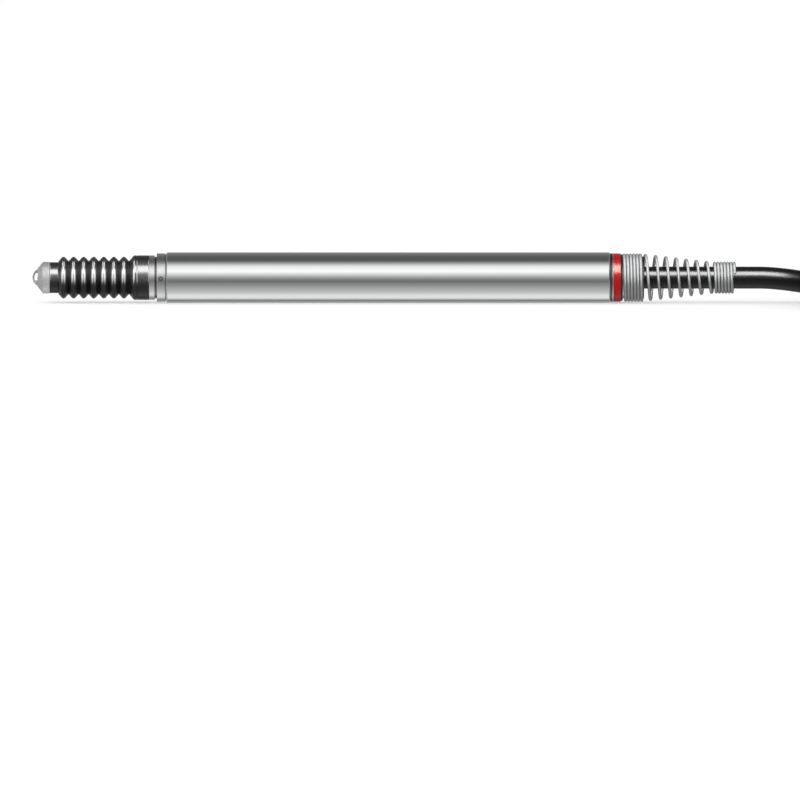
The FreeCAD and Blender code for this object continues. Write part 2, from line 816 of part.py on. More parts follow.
# Core: a ferrite tube on a thin rod, held between the rod's shoulder and a nut
core_front = coil_middle_place - size("travel") / 2 - size("core_length") / 2
core_rear = core_front + size("core_length")
nut_rear = core_rear + size("core_nut_length")
rod = radius("core_rod_diameter")
turned(
    "core_rod",
    [
        (root_front, 0),
        (nut_rear, 0),
        (nut_rear, rod),
        (core_front, rod),
        (core_front, radius("core_nut_diameter")),
        (core_front - size("core_nut_length"), radius("core_nut_diameter")),
        (core_front - size("core_nut_length"), rod),
        (collar_rear + size("core_nut_length"), rod),
        (collar_rear + size("core_nut_length"), radius("core_root_diameter")),
        (root_front, radius("core_root_diameter")),
    ],
)
rod_seat = rod + size("fixed_fit")
tube("ferrite_core", core_front, core_rear, rod_seat, radius("core_diameter"))
tube("core_nut", core_rear, nut_rear, rod_seat, radius("core_nut_diameter"))

# Terminal board, on which the coil's ends meet the cable's cores; it stands in the cap's chamber
seal_groove = bore_seat - size("seal_section")
chamber = seal_groove - size("cap_wall")
board_half_width = half_chord(chamber - size("fixed_fit"), size("board_thickness"))
terminal_board = document.addObject("Part::Box", "terminal_board")
terminal_board.setExpression("Length", size("board_length").text)
terminal_board.setExpression("Width", (board_half_width * 2).text)
terminal_board.setExpression("Height", size("board_thickness").text)
terminal_board.setExpression(".Placement.Base.x", board_front.text)
terminal_board.setExpression(".Placement.Base.y", (-board_half_width).text)
terminal_board.setExpression(".Placement.Base.z", (-size("board_thickness")).text)

# Rear cap: a spigot in the casing, a flange and a hub with the cable's hole
flange_rear = casing_rear + size("cap_flange_length")
hub_rear = flange_rear + size("cap_hub_length")
chamber_rear = hub_rear - size("cap_lip_length")
cable_hole = radius("cable_diameter") + size("sliding_gap") / 2
seal_middle = (cap_front + casing_rear) / 2
hub = below_shank - size("relief_wire") - size("fixed_fit")
groove_half = size("seal_section") / 2 + size("fixed_fit")
turned(
    "rear_cap",
    [
        (cap_front, chamber),
        (chamber_rear, chamber),
        (chamber_rear, cable_hole),
        (hub_rear, cable_hole),
        (hub_rear, hub),
        (flange_rear, hub),
        (flange_rear, below_shank),
        (casing_rear, below_shank),
        (casing_rear, bore_seat),
        (seal_middle + groove_half, bore_seat),
        (seal_middle + groove_half, seal_groove),
        (seal_middle - groove_half, seal_groove),
        (seal_middle - groove_half, bore_seat),
        (cap_front, bore_seat),
    ],
)
tube(
    "cap_seal",
    seal_middle - size("seal_section") / 2,
    seal_middle + size("seal_section") / 2,
    seal_groove + size("fixed_fit"),
    bore_seat,
)

hub_seat = hub + size("fixed_fit")
ring_rear = flange_rear + size("marking_ring_length")
washer_rear = ring_rear + size("rear_washer_length")
tube("marking_ring", flange_rear, ring_rear, hub_seat, below_shank)
tube(
    "rear_washer", ring_rear, washer_rear, hub_seat, below_shank - size("rear_washer_inset")
)

# Strain relief spring: close turns on the hub, an open tapered stretch, close turns on the cable
relief_spring = new_body("strain_relief_spring")
relief_rear_outer = radius("relief_rear_diameter")
cone_front = washer_rear + size("relief_front_length")
relief_cone_rear = cone_front + size("relief_cone_length")
relief_rear = relief_cone_rear + size("relief_rear_length")


def draw_close_turns(sketch, front, rear, outer, turns):
    """Close turns as one sleeve: a straight bore, and outside it a ridge for each turn of the wire."""
    pitch = (rear - front) / turns
    crest_half = pitch / 5
    ridge_foot = outer - size("relief_wire") / 3
    outline = [
        (front, outer - size("relief_wire")),
        (rear, outer - size("relief_wire")),
    ]
    for turn_number in range(int(turns.value)):
        turn_middle = rear - pitch * (turn_number + 0.5)
        outline += [
            (turn_middle + pitch / 2, ridge_foot),
            (turn_middle + crest_half, outer),
            (turn_middle - crest_half, outer),
        ]
    outline.append((front, ridge_foot))
    draw_outline(sketch, outline)


for end_name, end_front, end_rear, end_outer in (
    ("front", washer_rear, cone_front, below_shank),
    ("rear", relief_cone_rear, relief_rear, relief_rear_outer),
):
    end_sketch = new_sketch(relief_spring, end_name + "_turns")
    end_turns = size("relief_%s_turns" % end_name)
    draw_close_turns(end_sketch, end_front, end_rear, end_outer, end_turns)
    turn(relief_spring, end_sketch)
wind(
    relief_spring,
    relief_cone_rear + size("relief_wire") / 2,
    size("relief_cone_length") + size("relief_wire"),
    relief_rear_outer - size("relief_wire") / 2,
    size("relief_wire"),
    size("relief_turns"),
    below_shank - relief_rear_outer,
)

# Cable end: a rubber grommet in the cap, and the bared cores that run to the board
turned(
    "cable_grommet",
    [
        (chamber_rear - size("grommet_length"), radius("grommet_bore_diameter")),
        (hub_rear, radius("grommet_bore_diameter")),
        (hub_rear, cable_hole - size("fixed_fit")),
        (chamber_rear, cable_hole - size("fixed_fit")),
        (chamber_rear, chamber - size("fixed_fit")),
        (chamber_rear - size("grommet_length"), chamber - size("fixed_fit")),
    ],
)
cable_cores = document.addObject("Part::Compound", "cable_cores")
board_middle = (board_front + board_rear) / 2
cores = []
for core_name, side in (("left", -1), ("middle", 0), ("right", 1)):
    core = document.addObject("Part::Cylinder", core_name + "_core")
    core.setExpression("Radius", radius("cable_core_diameter").text)
    core.setExpression("Height", (hub_rear - board_middle).text)
    core.setExpression(".Placement.Base.x", board_middle.text)
    core.setExpression(".Placement.Base.y", (size("cable_core_spacing") * side).text)
    core.setExpression(".Placement.Base.z", radius("cable_core_diameter").text)
    core.Placement.Rotation = Rotation(Vector(0, 1, 0), 90)
    cores.append(core)
cable_cores.Links = cores

# Cable: straight out of the hub, then down to the bench and into the hank's first run
CABLE_ROUTE = [
    (75.4, 0.0, 0.0),
    (92.0, 0.0, 0.0),
    (108.5, 2.25, -2.25),
    (119.25, 2.25, -2.25),
]
# The cable's tail comes off the hank's top and bends down into the connector's boot
TAIL_ROUTE = [
    (185.8, 2.25, 11.95),
    (193.0, 2.25, 11.95),
    (199.8, 1.22, 9.6),
    (206.3, -1.07, 4.41),
    (213.1, -2.1, 2.0),
    (220.3, -2.1, 2.0),
]


def lay_cable(name, route):
    """A round tube along straight runs joined by tangent arcs as large as the runs allow."""
    points = [Vector(*point) for point in route]
    edges = []
    at = points[0]
    print(name)
    for before, corner, after in zip(points, points[1:], points[2:]):
        came, going = corner - before, after - corner
        half_turn = came.getAngle(going) / 2
        cut = 0.45 * min(came.Length, going.Length)
        print("  turn %.0f degrees, radius %.1f mm" % (
            math.degrees(2 * half_turn), cut / math.tan(half_turn)))
        came.normalize()
        going.normalize()
        arc_start, arc_end = corner - came * cut, corner + going * cut
        inward = going - came
        inward.normalize()
        bend = cut / math.tan(half_turn)
        arc_middle = corner + inward * (bend / math.cos(half_turn) - bend)
        edges.append(Part.LineSegment(at, arc_start).toShape())
        edges.append(Part.Arc(arc_start, arc_middle, arc_end).toShape())
        at = arc_end
    edges.append(Part.LineSegment(at, points[-1]).toShape())
    path = Part.Wire(edges)
    cable_radius = radius("cable_diameter").value
    rim = Part.Circle(points[0], points[1] - points[0], cable_radius).toShape()
    solid = path.makePipeShell([Part.Wire([rim])], True, False)
    expected = math.pi * cable_radius**2 * path.Length
    print("  length %.1f mm, volume %.4f of section times length" % (
        path.Length, solid.Volume / expected))
    if abs(solid.Volume / expected - 1) > 0.01:
        raise ValueError(name + " is not a clean tube")
    piece = document.addObject("Part::Feature", name)
    piece.Shape = solid
    piece.Placement = Placement()


lay_cable("cable", CABLE_ROUTE)
lay_cable("cable_tail", TAIL_ROUTE)

# Hank: the cable's turns as one solid, two turns wide, drawn in under the tie at its middle
cable_hank = new_body("cable_hank")
near_centre = Size(CABLE_ROUTE[-1][0], repr(CABLE_ROUTE[-1][0]))
far_centre = near_centre + size("hank_run")
turn_pitch = size("cable_diameter") + size("turn_gap")
outer_turn = size("fold_radius") + turn_pitch
hank_middle = Size(CABLE_ROUTE[-1][1], repr(CABLE_ROUTE[-1][1])) - outer_turn
half_cable = radius("cable_diameter")
bench = -radius("casing_diameter")
lower_layers = size("hank_layers") - 1
base_height = turn_pitch * lower_layers - size("turn_gap")
turns_sketch = new_sketch(cable_hank, "base_turns", "XY_Plane", bench)
draw_stadium(turns_sketch, near_centre, far_centre, hank_middle, outer_turn + half_cable)
push(cable_hank, turns_sketch, "Pad", base_height)
top_sketch = new_sketch(cable_hank, "top_turn", "XY_Plane", bench + base_height)
inner_rim = size("fold_radius") + half_cable
draw_stadium(top_sketch, near_centre, far_centre, hank_middle, inner_rim)
push(cable_hank, top_sketch, "Pad", turn_pitch)
last_sketch = new_sketch(cable_hank, "last_run", "XY_Plane", bench + base_height)
tail_start = Size(TAIL_ROUTE[0][0], repr(TAIL_ROUTE[0][0]))
draw_outline(
    last_sketch,
    [
        (near_centre, hank_middle + inner_rim),
        (tail_start, hank_middle + inner_rim),
        (tail_start, hank_middle + outer_turn + half_cable),
        (near_centre, hank_middle + outer_turn + half_cable),
    ],
)
push(cable_hank, last_sketch, "Pad", turn_pitch)
eye_sketch = new_sketch(cable_hank, "eye", "XY_Plane", bench)
draw_stadium(eye_sketch, near_centre, far_centre, hank_middle, size("fold_radius") - half_cable)
push(cable_hank, eye_sketch, "Pocket", reverse=True)

# Tie: a strap round both sides of the hank, which it draws in by its own thickness
tie_middle = (near_centre + far_centre) / 2
tie_front = tie_middle - size("tie_width") / 2
hank_top = bench + base_height + turn_pitch
hank_left = hank_middle - outer_turn - half_cable
hank_right = hank_middle + outer_turn + half_cable
strap = size("tie_thickness")


def draw_section(sketch, inset):
    """The tied section of the hank in the YZ plane, drawn in by an inset."""
    draw_outline(
        sketch,
        [
            (hank_left + inset, bench + inset),
            (hank_right - inset, bench + inset),
            (hank_right - inset, hank_top - inset),
            (hank_left + inset, hank_top - inset),
        ],
    )


notch_sketch = new_sketch(cable_hank, "tie_notch", "YZ_Plane", tie_front)
draw_section(notch_sketch, -strap)
draw_section(notch_sketch, strap)
push(cable_hank, notch_sketch, "Pocket", size("tie_width"), reverse=True)

hank_tie = new_body("hank_tie")
strap_sketch = new_sketch(hank_tie, "strap", "YZ_Plane", tie_front)
draw_section(strap_sketch, as_size(0))
draw_section(strap_sketch, strap)
push(hank_tie, strap_sketch, "Pad", size("tie_width"))

# Connector: a small round plug with five pins, on the bench at the end of the cable's tail
plug_place = [as_size(value) for value in TAIL_ROUTE[-1]]
boot_rear = size("boot_length")
shell_front = boot_rear + size("shell_length")
nose_front = shell_front + size("shell_nose_length")
turned(
    "connector_boot",
    [
        (0, 0),
        (boot_rear, 0),
        (boot_rear, radius("boot_root_diameter")),
        (boot_rear - size("boot_root_length"), radius("boot_root_diameter")),
        (0, radius("boot_tip_diameter")),
    ],
    plug_place,
)
ring_rear_place = shell_front - size("coupling_ring_lip") / 2
ring_front_place = ring_rear_place + size("coupling_ring_length")
lip_front = ring_rear_place + size("coupling_ring_lip")
insert_rear = nose_front - size("insert_length")
journal = radius("shell_journal_diameter")
thread = radius("coupling_ring_diameter") - size("coupling_ring_wall")
retaining_flange = thread - size("retaining_flange_gap")
ring_running_gap = size("sliding_gap") / 2
flange_start = lip_front + ring_running_gap
flange_end = flange_start + size("retaining_flange_length")
insert_bore = journal - size("shell_nose_wall")
turned(
    "connector_shell",
    [
        (boot_rear, 0),
        (insert_rear, 0),
        (insert_rear, insert_bore),
        (nose_front, insert_bore),
        (nose_front, journal),
        (flange_end, journal),
        (flange_end, retaining_flange),
        (flange_start, retaining_flange),
        (flange_start, journal),
        (ring_rear_place - ring_running_gap, journal),
        (ring_rear_place - ring_running_gap, radius("shell_diameter")),
        (boot_rear, radius("shell_diameter")),
    ],
    plug_place,
)
tube(
    "connector_insert",
    insert_rear,
    nose_front,
    as_size(0),
    insert_bore - size("fixed_fit"),
    plug_place,
)
CONTACT_PINS = 5
pin_compound = document.addObject("Part::Compound", "connector_pins")
contact_pins = []
for step in range(CONTACT_PINS):
    turned_by = math.radians(90 + 360 * step / CONTACT_PINS)
    across = radius("contact_pin_circle") * round(math.cos(turned_by), 12)
    up = radius("contact_pin_circle") * round(math.sin(turned_by), 12)
    pin = document.addObject("Part::Cylinder", "contact_pin_%d" % step)
    pin.setExpression("Radius", radius("contact_pin_diameter").text)
    pin.setExpression("Height", size("contact_pin_reach").text)
    pin.setExpression(".Placement.Base.x", (plug_place[0] + nose_front).text)
    pin.setExpression(".Placement.Base.y", (plug_place[1] + across).text)
    pin.setExpression(".Placement.Base.z", (plug_place[2] + up).text)
    pin.Placement.Rotation = Rotation(Vector(0, 1, 0), 90)
    contact_pins.append(pin)
pin_compound.Links = contact_pins
turned(
    "coupling_ring",
    [
        (ring_rear_place, journal + ring_running_gap),
        (lip_front, journal + ring_running_gap),
        (lip_front, thread),
        (ring_front_place, thread),
        (ring_front_place, radius("coupling_ring_diameter")),
        (ring_rear_place, radius("coupling_ring_diameter")),
    ],
    plug_place,
)

PIECES = [
    "casing_tube",
    "front_bush",
    "bellows",
    "contact_point",
    "contact_ball",
    "plunger_shaft",
    "guide_bush",
    "guide_pin",
    "ball_cage",
    "guide_balls",
    "return_spring",
    "spring_collar",
    "spring_seat",
    "spacer_sleeve",
    "core_rod",
    "ferrite_core",
    "core_nut",
    "coil_bobbin",
    "secondary_winding_front",
    "primary_winding",
    "secondary_winding_rear",
    "shield_sleeve",
    "terminal_board",
    "rear_cap",
    "cap_seal",
    "marking_ring",
    "rear_washer",
    "strain_relief_spring",
    "cable_grommet",
    "cable_cores",
    "cable",
    "cable_hank",
    "cable_tail",
    "hank_tie",
    "connector_boot",
    "connector_shell",
    "connector_insert",
    "connector_pins",
    "coupling_ring",
]

document.recompute()
failed = [
    item.Label for item in document.Objects if "Invalid" in item.State or "Error" in item.State
]
if failed:
    raise ValueError("these did not compute: " + ", ".join(failed))
shapes = {name: document.getObjectsByLabel(name)[0].Shape for name in PIECES}
for name, shape in shapes.items():
    if shape.isNull() or not shape.isValid() or not shape.Solids:
        raise ValueError(name + " is not a valid solid")

os.makedirs("parts", exist_ok=True)
for name, shape in shapes.items():
    shape.exportStep("parts/%s.step" % name)
    print("%-26s %d solid, %10.3f cubic mm" % (name, len(shape.Solids), shape.Volume))
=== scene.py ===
import math

import bmesh
import bpy
import mathutils
import numpy as np
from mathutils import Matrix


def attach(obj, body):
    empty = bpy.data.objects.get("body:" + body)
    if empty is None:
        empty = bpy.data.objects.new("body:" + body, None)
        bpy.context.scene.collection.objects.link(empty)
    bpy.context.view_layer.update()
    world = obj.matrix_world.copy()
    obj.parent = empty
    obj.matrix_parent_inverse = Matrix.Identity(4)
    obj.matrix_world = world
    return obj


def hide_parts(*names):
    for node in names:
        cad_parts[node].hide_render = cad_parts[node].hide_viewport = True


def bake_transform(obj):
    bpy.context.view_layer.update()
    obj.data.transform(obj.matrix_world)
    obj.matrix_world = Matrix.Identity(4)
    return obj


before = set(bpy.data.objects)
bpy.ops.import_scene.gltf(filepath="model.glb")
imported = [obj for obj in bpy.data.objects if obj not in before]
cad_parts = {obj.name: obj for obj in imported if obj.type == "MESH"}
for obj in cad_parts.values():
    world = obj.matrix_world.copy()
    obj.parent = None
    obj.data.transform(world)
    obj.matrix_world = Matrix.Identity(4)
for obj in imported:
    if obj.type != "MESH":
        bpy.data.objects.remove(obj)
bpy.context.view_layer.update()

# Camera: a long lens far away, level with the bench but for a few degrees, looking along +Y at
# the probe's side. The picture is 126.6 mm wide where the probe stands.
MM = 0.001
VIEW_WIDTH = 126.58 * MM
VIEW_LIFT = math.radians(3.0)
VIEW_MIDDLE = np.array([36.8, 0.0, -19.38]) * MM
camera_data = bpy.data.cameras.new("camera")
camera_data.lens = 1000.0
camera_data.sensor_width = 36.0
camera_data.clip_start = 0.1
camera_data.clip_end = 100.0
camera_distance = VIEW_WIDTH * camera_data.lens / camera_data.sensor_width
camera = bpy.data.objects.new("camera", camera_data)
camera.location = VIEW_MIDDLE + camera_distance * np.array(
    [0.0, -math.cos(VIEW_LIFT), math.sin(VIEW_LIFT)]
)
camera.rotation_euler = (math.pi / 2 - VIEW_LIFT, 0.0, 0.0)
bpy.context.scene.collection.objects.link(camera)
bpy.context.scene.camera = camera
bpy.context.scene.view_settings.view_transform = "Standard"


# Cable: black sheathed signal cable of 3.5 mm, 2 m long. It leaves the cap through its strain
# relief, comes down to the bench and is wound into a flat hank of nine turns, beside each other
# in pairs and five layers high, from the top of which its tail runs down into the connector.
CABLE_RADIUS = 1.75
# Where the cable isn't wound up its points are listed one by one: out of the cap and down to the
# bench, and from the hank's top down to the plug.
CABLE_START = [(75.13, 0.0, 0.0), (90.0, 0.0, 0.0), (97.0, 0.0, 0.0), (108.5, 2.25, -2.25)]
CABLE_TAIL = [
    (185.8, 2.25, 11.95),
    (193.0, 2.25, 11.95),
    (199.8, 1.22, 9.6),
    (206.3, -1.07, 4.41),
    (213.1, -2.1, 2.0),
    (220.3, -2.1, 2.0),
]
HANK_NEAR, HANK_FAR, HANK_MIDDLE = 119.25, 182.25, -11.8
INNER_TURN, OUTER_TURN = 10.5, 14.05
LAYER_PITCH = 3.55
LOWEST_LAYER = -2.25
TIE_PLACE, TIE_WIDTH, TIE_THICKNESS = 151.25, 10.0, 0.8
# Each turn: its radius, its layer, how far its near fold is loosened along X, the share of the
# fold in which it rises to the next layer, and how far it humps over the turn before it.
TURNS = [
    (OUTER_TURN, 0, 1.9, 1.0, 0.0),
    (INNER_TURN, 0, 0.0, 1.0, 0.0),
    (INNER_TURN, 1, 1.7, 1.0, 0.0),
    (OUTER_TURN, 1, 3.1, 1.0, 0.0),
    (OUTER_TURN, 2, 1.7, 1.0, 0.0),
    (INNER_TURN, 2, 0.0, 1.0, 0.0),
    (INNER_TURN, 3, 1.8, 1.0, 0.0),
    (OUTER_TURN, 3, 2.1, 0.45, 0.0),
    (INNER_TURN, 4, 1.9, 1.0, 3.8),
]
LAST_RUN = (OUTER_TURN, 4)


def eased(share):
    """0 to 1 with no speed at either end: three times the square less twice the cube."""
    share = np.clip(share, 0.0, 1.0)
    return share**2 * (3 - 2 * share)


def hank_run(turn, layer, side, places):
    """Points of a straight run at a turn's radius to one side of the hank's middle line. Under
    the tie they come nearer to the hank's own middle by the tie's thickness."""
    drawn = TIE_THICKNESS * (np.abs(places - TIE_PLACE) < TIE_WIDTH)
    y = HANK_MIDDLE + side * (turn - drawn)
    middle_layer = 2
    level = LOWEST_LAYER + LAYER_PITCH * layer
    z = level + drawn * (middle_layer - layer) / middle_layer
    return np.column_stack([places, y, z])


def hank_fold(start, end, centre, way, loosened=0.0, rise_share=1.0, hump=0.0):
    """Points round half an ellipse from the run at start to the run at end, each (radius,
    layer): its corners stand outside it by the secant of half the step between them. A hump
    rises and falls as the sine of the angle to the power 1.5."""
    step = math.radians(30.0)
    angle = np.arange(step / 2, math.pi, step)
    share = angle / math.pi
    reach = start[0] + (end[0] - start[0]) * eased(share)
    outside = 1 / math.cos(step / 2)
    level = start[1] + (end[1] - start[1]) * eased(share / rise_share)
    x = centre + way * (reach + loosened) * outside * np.sin(angle)
    y = HANK_MIDDLE + way * reach * outside * np.cos(angle)
    z = LOWEST_LAYER + LAYER_PITCH * level + hump * np.sin(angle) ** 1.5
    return np.column_stack([x, y, z])


# Where a straight run's points stand along X: just inside its folds, at the tie, beside the tie
# and further away from it.
INSIDE_FOLD, BESIDE_TIE, AWAY_FROM_TIE = 2.9, 4.75, 15.25
run_places = np.array(
    [
        HANK_NEAR + INSIDE_FOLD, TIE_PLACE - AWAY_FROM_TIE, TIE_PLACE - BESIDE_TIE, TIE_PLACE,
        TIE_PLACE + BESIDE_TIE, TIE_PLACE + AWAY_FROM_TIE, HANK_FAR - INSIDE_FOLD,
    ]
)
route = [np.array(CABLE_START)]
for number, (turn, layer, loosened, rise_share, hump) in enumerate(TURNS):
    following = (TURNS[number + 1] if number + 1 < len(TURNS) else LAST_RUN)[:2]
    route.append(hank_run(turn, layer, 1, run_places))
    route.append(hank_fold((turn, layer), (turn, layer), HANK_FAR, 1))
    route.append(hank_run(turn, layer, -1, run_places[::-1]))
    route.append(
        hank_fold((turn, layer), following, HANK_NEAR, -1, loosened, rise_share, hump)
    )
route += [hank_run(*LAST_RUN, 1, run_places), np.array(CABLE_TAIL)]
route = np.vstack(route)

cable_curve = bpy.data.curves.new("cable", "CURVE")
cable_curve.dimensions = "3D"
cable_line = cable_curve.splines.new("NURBS")
cable_line.points.add(len(route) - 1)
cable_line.points.foreach_set("co", np.column_stack([route * MM, np.ones(len(route))]).ravel())
cable_line.order_u = 3
cable_line.use_endpoint_u = True
cable_line.resolution_u = 8
cable_curve.bevel_depth = CABLE_RADIUS * MM
cable_curve.bevel_resolution = 8
cable_curve.use_fill_caps = True
cable = bpy.data.objects.new("cable_whole", cable_curve)
bpy.context.scene.collection.objects.link(cable)


def add(made, kind, **inputs):
    """A node of this kind in a material's or the world's tree, with these inputs set."""
    node = made.node_tree.nodes.new(kind)
    for name, value in inputs.items():
        node.inputs[name.replace("_", " ")].default_value = value
    return node


def join(made, output, socket):
    """Links an output to a socket."""
    made.node_tree.links.new(output, socket)


def finish(name, colour, roughness, **sockets):
    """A Principled material, whose constant values stand on the shader's own sockets."""
    made = bpy.data.materials.new(name)
    made.use_nodes = True
    shader = made.node_tree.nodes["Principled BSDF"]
    sockets.update(Base_Color=(*colour, 1.0), Roughness=roughness)
    for socket, value in sockets.items():
        shader.inputs[socket.replace("_", " ")].default_value = value
    return made


def grain(made, lump, stretch=(1.0, 1.0, 1.0), detail=3.0):
    """Noise with lumps of this size in millimetres, longer along each axis by its stretch."""
    place = add(made, "ShaderNodeTexCoord")
    scale = [1 / (MM * lump * longer) for longer in stretch]
    mapping = add(made, "ShaderNodeMapping", Scale=scale)
    noise = add(made, "ShaderNodeTexNoise", Scale=1.0, Detail=detail)
    join(made, place.outputs["Object"], mapping.inputs["Vector"])
    join(made, mapping.outputs["Vector"], noise.inputs["Vector"])
    return noise.outputs["Fac"]


def vary(made, socket, field, low, high, start=0.3, stop=0.7):
    """Drives a number on the shader from low to high as the field goes from start to stop."""
    spread = add(
        made, "ShaderNodeMapRange", From_Min=start, From_Max=stop, To_Min=low, To_Max=high
    )
    join(made, field, spread.inputs["Value"])
    shader = made.node_tree.nodes["Principled BSDF"]
    join(made, spread.outputs["Result"], shader.inputs[socket])


def tint(made, field, low, high, start=0.3, stop=0.7):
    """Drives the shader's base colour from low to high as the field goes from start to stop."""
    ramp = add(made, "ShaderNodeValToRGB")
    first, last = ramp.color_ramp.elements
    first.position, last.position = start, stop
    first.color, last.color = (*low, 1.0), (*high, 1.0)
    join(made, field, ramp.inputs["Fac"])
    shader = made.node_tree.nodes["Principled BSDF"]
    join(made, ramp.outputs["Color"], shader.inputs["Base Color"])


def raise_by(made, field, depth):
    """Bump of this depth in millimetres where the field is 1, on top of any bump before it."""
    shader = made.node_tree.nodes["Principled BSDF"]
    bump = add(made, "ShaderNodeBump", Strength=1.0, Distance=depth * MM)
    join(made, field, bump.inputs["Height"])
    if shader.inputs["Normal"].is_linked:
        before = shader.inputs["Normal"].links[0].from_socket
        join(made, before, bump.inputs["Normal"])
    join(made, bump.outputs["Normal"], shader.inputs["Normal"])


def fit(piece, body, slot, *nodes):
    """Rides a piece on its body and lets it stand for its CAD nodes. The slot is not used."""
    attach(piece, body)
    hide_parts(*nodes)


sheath = finish("cable_sheath", (0.0035, 0.0035, 0.004), 0.26, Specular_IOR_Level=0.28)
tint(sheath, grain(sheath, 6.0), (0.0025, 0.0025, 0.003), (0.0045, 0.0045, 0.005))
vary(sheath, "Roughness", grain(sheath, 4.0), 0.25, 0.275)
raise_by(sheath, grain(sheath, 0.8, detail=2.0), 0.0006)
cable_curve.materials.append(sheath)
fit(cable, "housing", "cable_sheath", "cable", "cable_hank", "cable_tail")


# Bench: a very large matt white bench top that the probe and its cable lie on. The camera sees
# it white but for the shadow. Gloss doesn't see it, and sees the studio's lower half there.
BENCH_REACH = 40.0
BENCH_LEVEL = -4.01 * MM
bench_mesh = bpy.data.meshes.new("bench")
bench_corners = BENCH_REACH * np.array([[-1, -1, 0], [1, -1, 0], [1, 1, 0], [-1, 1, 0]])
bench_mesh.from_pydata((bench_corners + [0, 0, BENCH_LEVEL]).tolist(), [], [(0, 1, 2, 3)])
bench = bpy.data.objects.new("bench", bench_mesh)
bpy.context.scene.collection.objects.link(bench)
bench_paint = bpy.data.materials.new("bench_paint")
bench_paint.use_nodes = True
bench_paint.node_tree.nodes.clear()
seen_by = add(bench_paint, "ShaderNodeLightPath")
bench_matt = add(bench_paint, "ShaderNodeBsdfDiffuse", Color=(0.8, 0.8, 0.8, 1.0))
bench_glow = add(bench_paint, "ShaderNodeEmission", Strength=0.42)
bench_seen = add(bench_paint, "ShaderNodeAddShader")
bench_clear = add(bench_paint, "ShaderNodeBsdfTransparent")
bench_or_not = add(bench_paint, "ShaderNodeMixShader")
bench_for_light = add(bench_paint, "ShaderNodeMixShader")
bench_out = add(bench_paint, "ShaderNodeOutputMaterial")
join(bench_paint, bench_matt.outputs[0], bench_seen.inputs[0])
join(bench_paint, bench_glow.outputs[0], bench_seen.inputs[1])
join(bench_paint, seen_by.outputs["Is Camera Ray"], bench_for_light.inputs[0])
join(bench_paint, bench_matt.outputs[0], bench_for_light.inputs[1])
join(bench_paint, bench_seen.outputs[0], bench_for_light.inputs[2])
join(bench_paint, seen_by.outputs["Is Glossy Ray"], bench_or_not.inputs[0])
join(bench_paint, bench_for_light.outputs[0], bench_or_not.inputs[1])
join(bench_paint, bench_clear.outputs[0], bench_or_not.inputs[2])
join(bench_paint, bench_or_not.outputs[0], bench_out.inputs[0])
bench_mesh.materials.append(bench_paint)


# Studio: what metal and gloss see round them, a tall soft light above the camera's side, a dark
# ceiling and, below the level, a bench that grows paler towards the probe. Its brightness goes by
# the height in degrees, on the camera's side and on the far side, which meet in a soft edge.
STUDIO_PEAK, PLAIN_LIGHT, SOFT_EDGE = 2.0, 0.55, 0.12
NEAR_STUDIO = [
    (-90, 1.1), (-74, 0.85), (-63, 0.73), (-53, 0.62), (-43, 0.53), (-34, 0.41), (-24, 0.33),
    (-15, 0.22), (-6, 0.31), (3, 0.5), (12, 0.79), (21, 1.12), (31, 1.5), (45, 1.35), (55, 1.2),
    (66, 0.75), (77, 0.36), (84, 0.2), (90, 0.12),
]
FAR_STUDIO = [
    (-90, 1.1), (-81, 1.2), (-73, 0.97), (-65, 0.62), (-56, 0.3), (-46, 0.3), (-32, 0.55),
    (-10, 0.45), (0, 0.35), (25, 0.29), (40, 0.28), (52, 0.19), (70, 0.14), (90, 0.13),
]
world = bpy.data.worlds.new("studio")
bpy.context.scene.world = world
world.use_nodes = True
world.node_tree.nodes.clear()
direction = add(world, "ShaderNodeTexCoord")
split = add(world, "ShaderNodeSeparateXYZ")
join(world, direction.outputs["Generated"], split.inputs[0])
height_share = add(world, "ShaderNodeMapRange", From_Min=-1.0, From_Max=1.0)
join(world, split.outputs["Z"], height_share.inputs["Value"])
far_share = add(world, "ShaderNodeMapRange", From_Min=-SOFT_EDGE, From_Max=SOFT_EDGE)
join(world, split.outputs["Y"], far_share.inputs["Value"])


def ramp_through(made, stops):
    """A colour ramp through stops of (share, colour), the first at 0 and the last at 1."""
    ramp = add(made, "ShaderNodeValToRGB")
    elements = ramp.color_ramp.elements
    for share, _ in stops[1:-1]:
        elements.new(share)
    for element, (_, colour) in zip(elements, stops):
        element.color = (*colour, 1.0)
    return ramp


def studio_side(levels):
    """The light of one side, as a share of the peak: a ramp over half of one more than the sine
    of the height."""
    stops = []
    for height, level in levels:
        share = (math.sin(math.radians(height)) + 1) / 2
        stops.append((share, 3 * [level / STUDIO_PEAK]))
    ramp = ramp_through(world, stops)
    join(world, height_share.outputs["Result"], ramp.inputs["Fac"])
    return ramp.outputs["Color"]


both_sides = add(world, "ShaderNodeMix")
both_sides.data_type = "RGBA"
join(world, far_share.outputs["Result"], both_sides.inputs["Factor"])
join(world, studio_side(NEAR_STUDIO), both_sides.inputs["A"])
join(world, studio_side(FAR_STUDIO), both_sides.inputs["B"])
in_gloss = add(world, "ShaderNodeBackground", Strength=STUDIO_PEAK)
join(world, both_sides.outputs["Result"], in_gloss.inputs["Color"])
WHITE = (1.0, 1.0, 1.0, 1.0)
all_round = add(world, "ShaderNodeBackground", Color=WHITE, Strength=PLAIN_LIGHT)
seen_white = add(world, "ShaderNodeBackground", Color=WHITE, Strength=1.0)
world_seen_by = add(world, "ShaderNodeLightPath")
white_or_light = add(world, "ShaderNodeMixShader")
gloss_or_not = add(world, "ShaderNodeMixShader")
straight_ray = add(world, "ShaderNodeMath")
straight_ray.operation = "MAXIMUM"
world_out = add(world, "ShaderNodeOutputWorld")
join(world, world_seen_by.outputs["Is Camera Ray"], straight_ray.inputs[0])
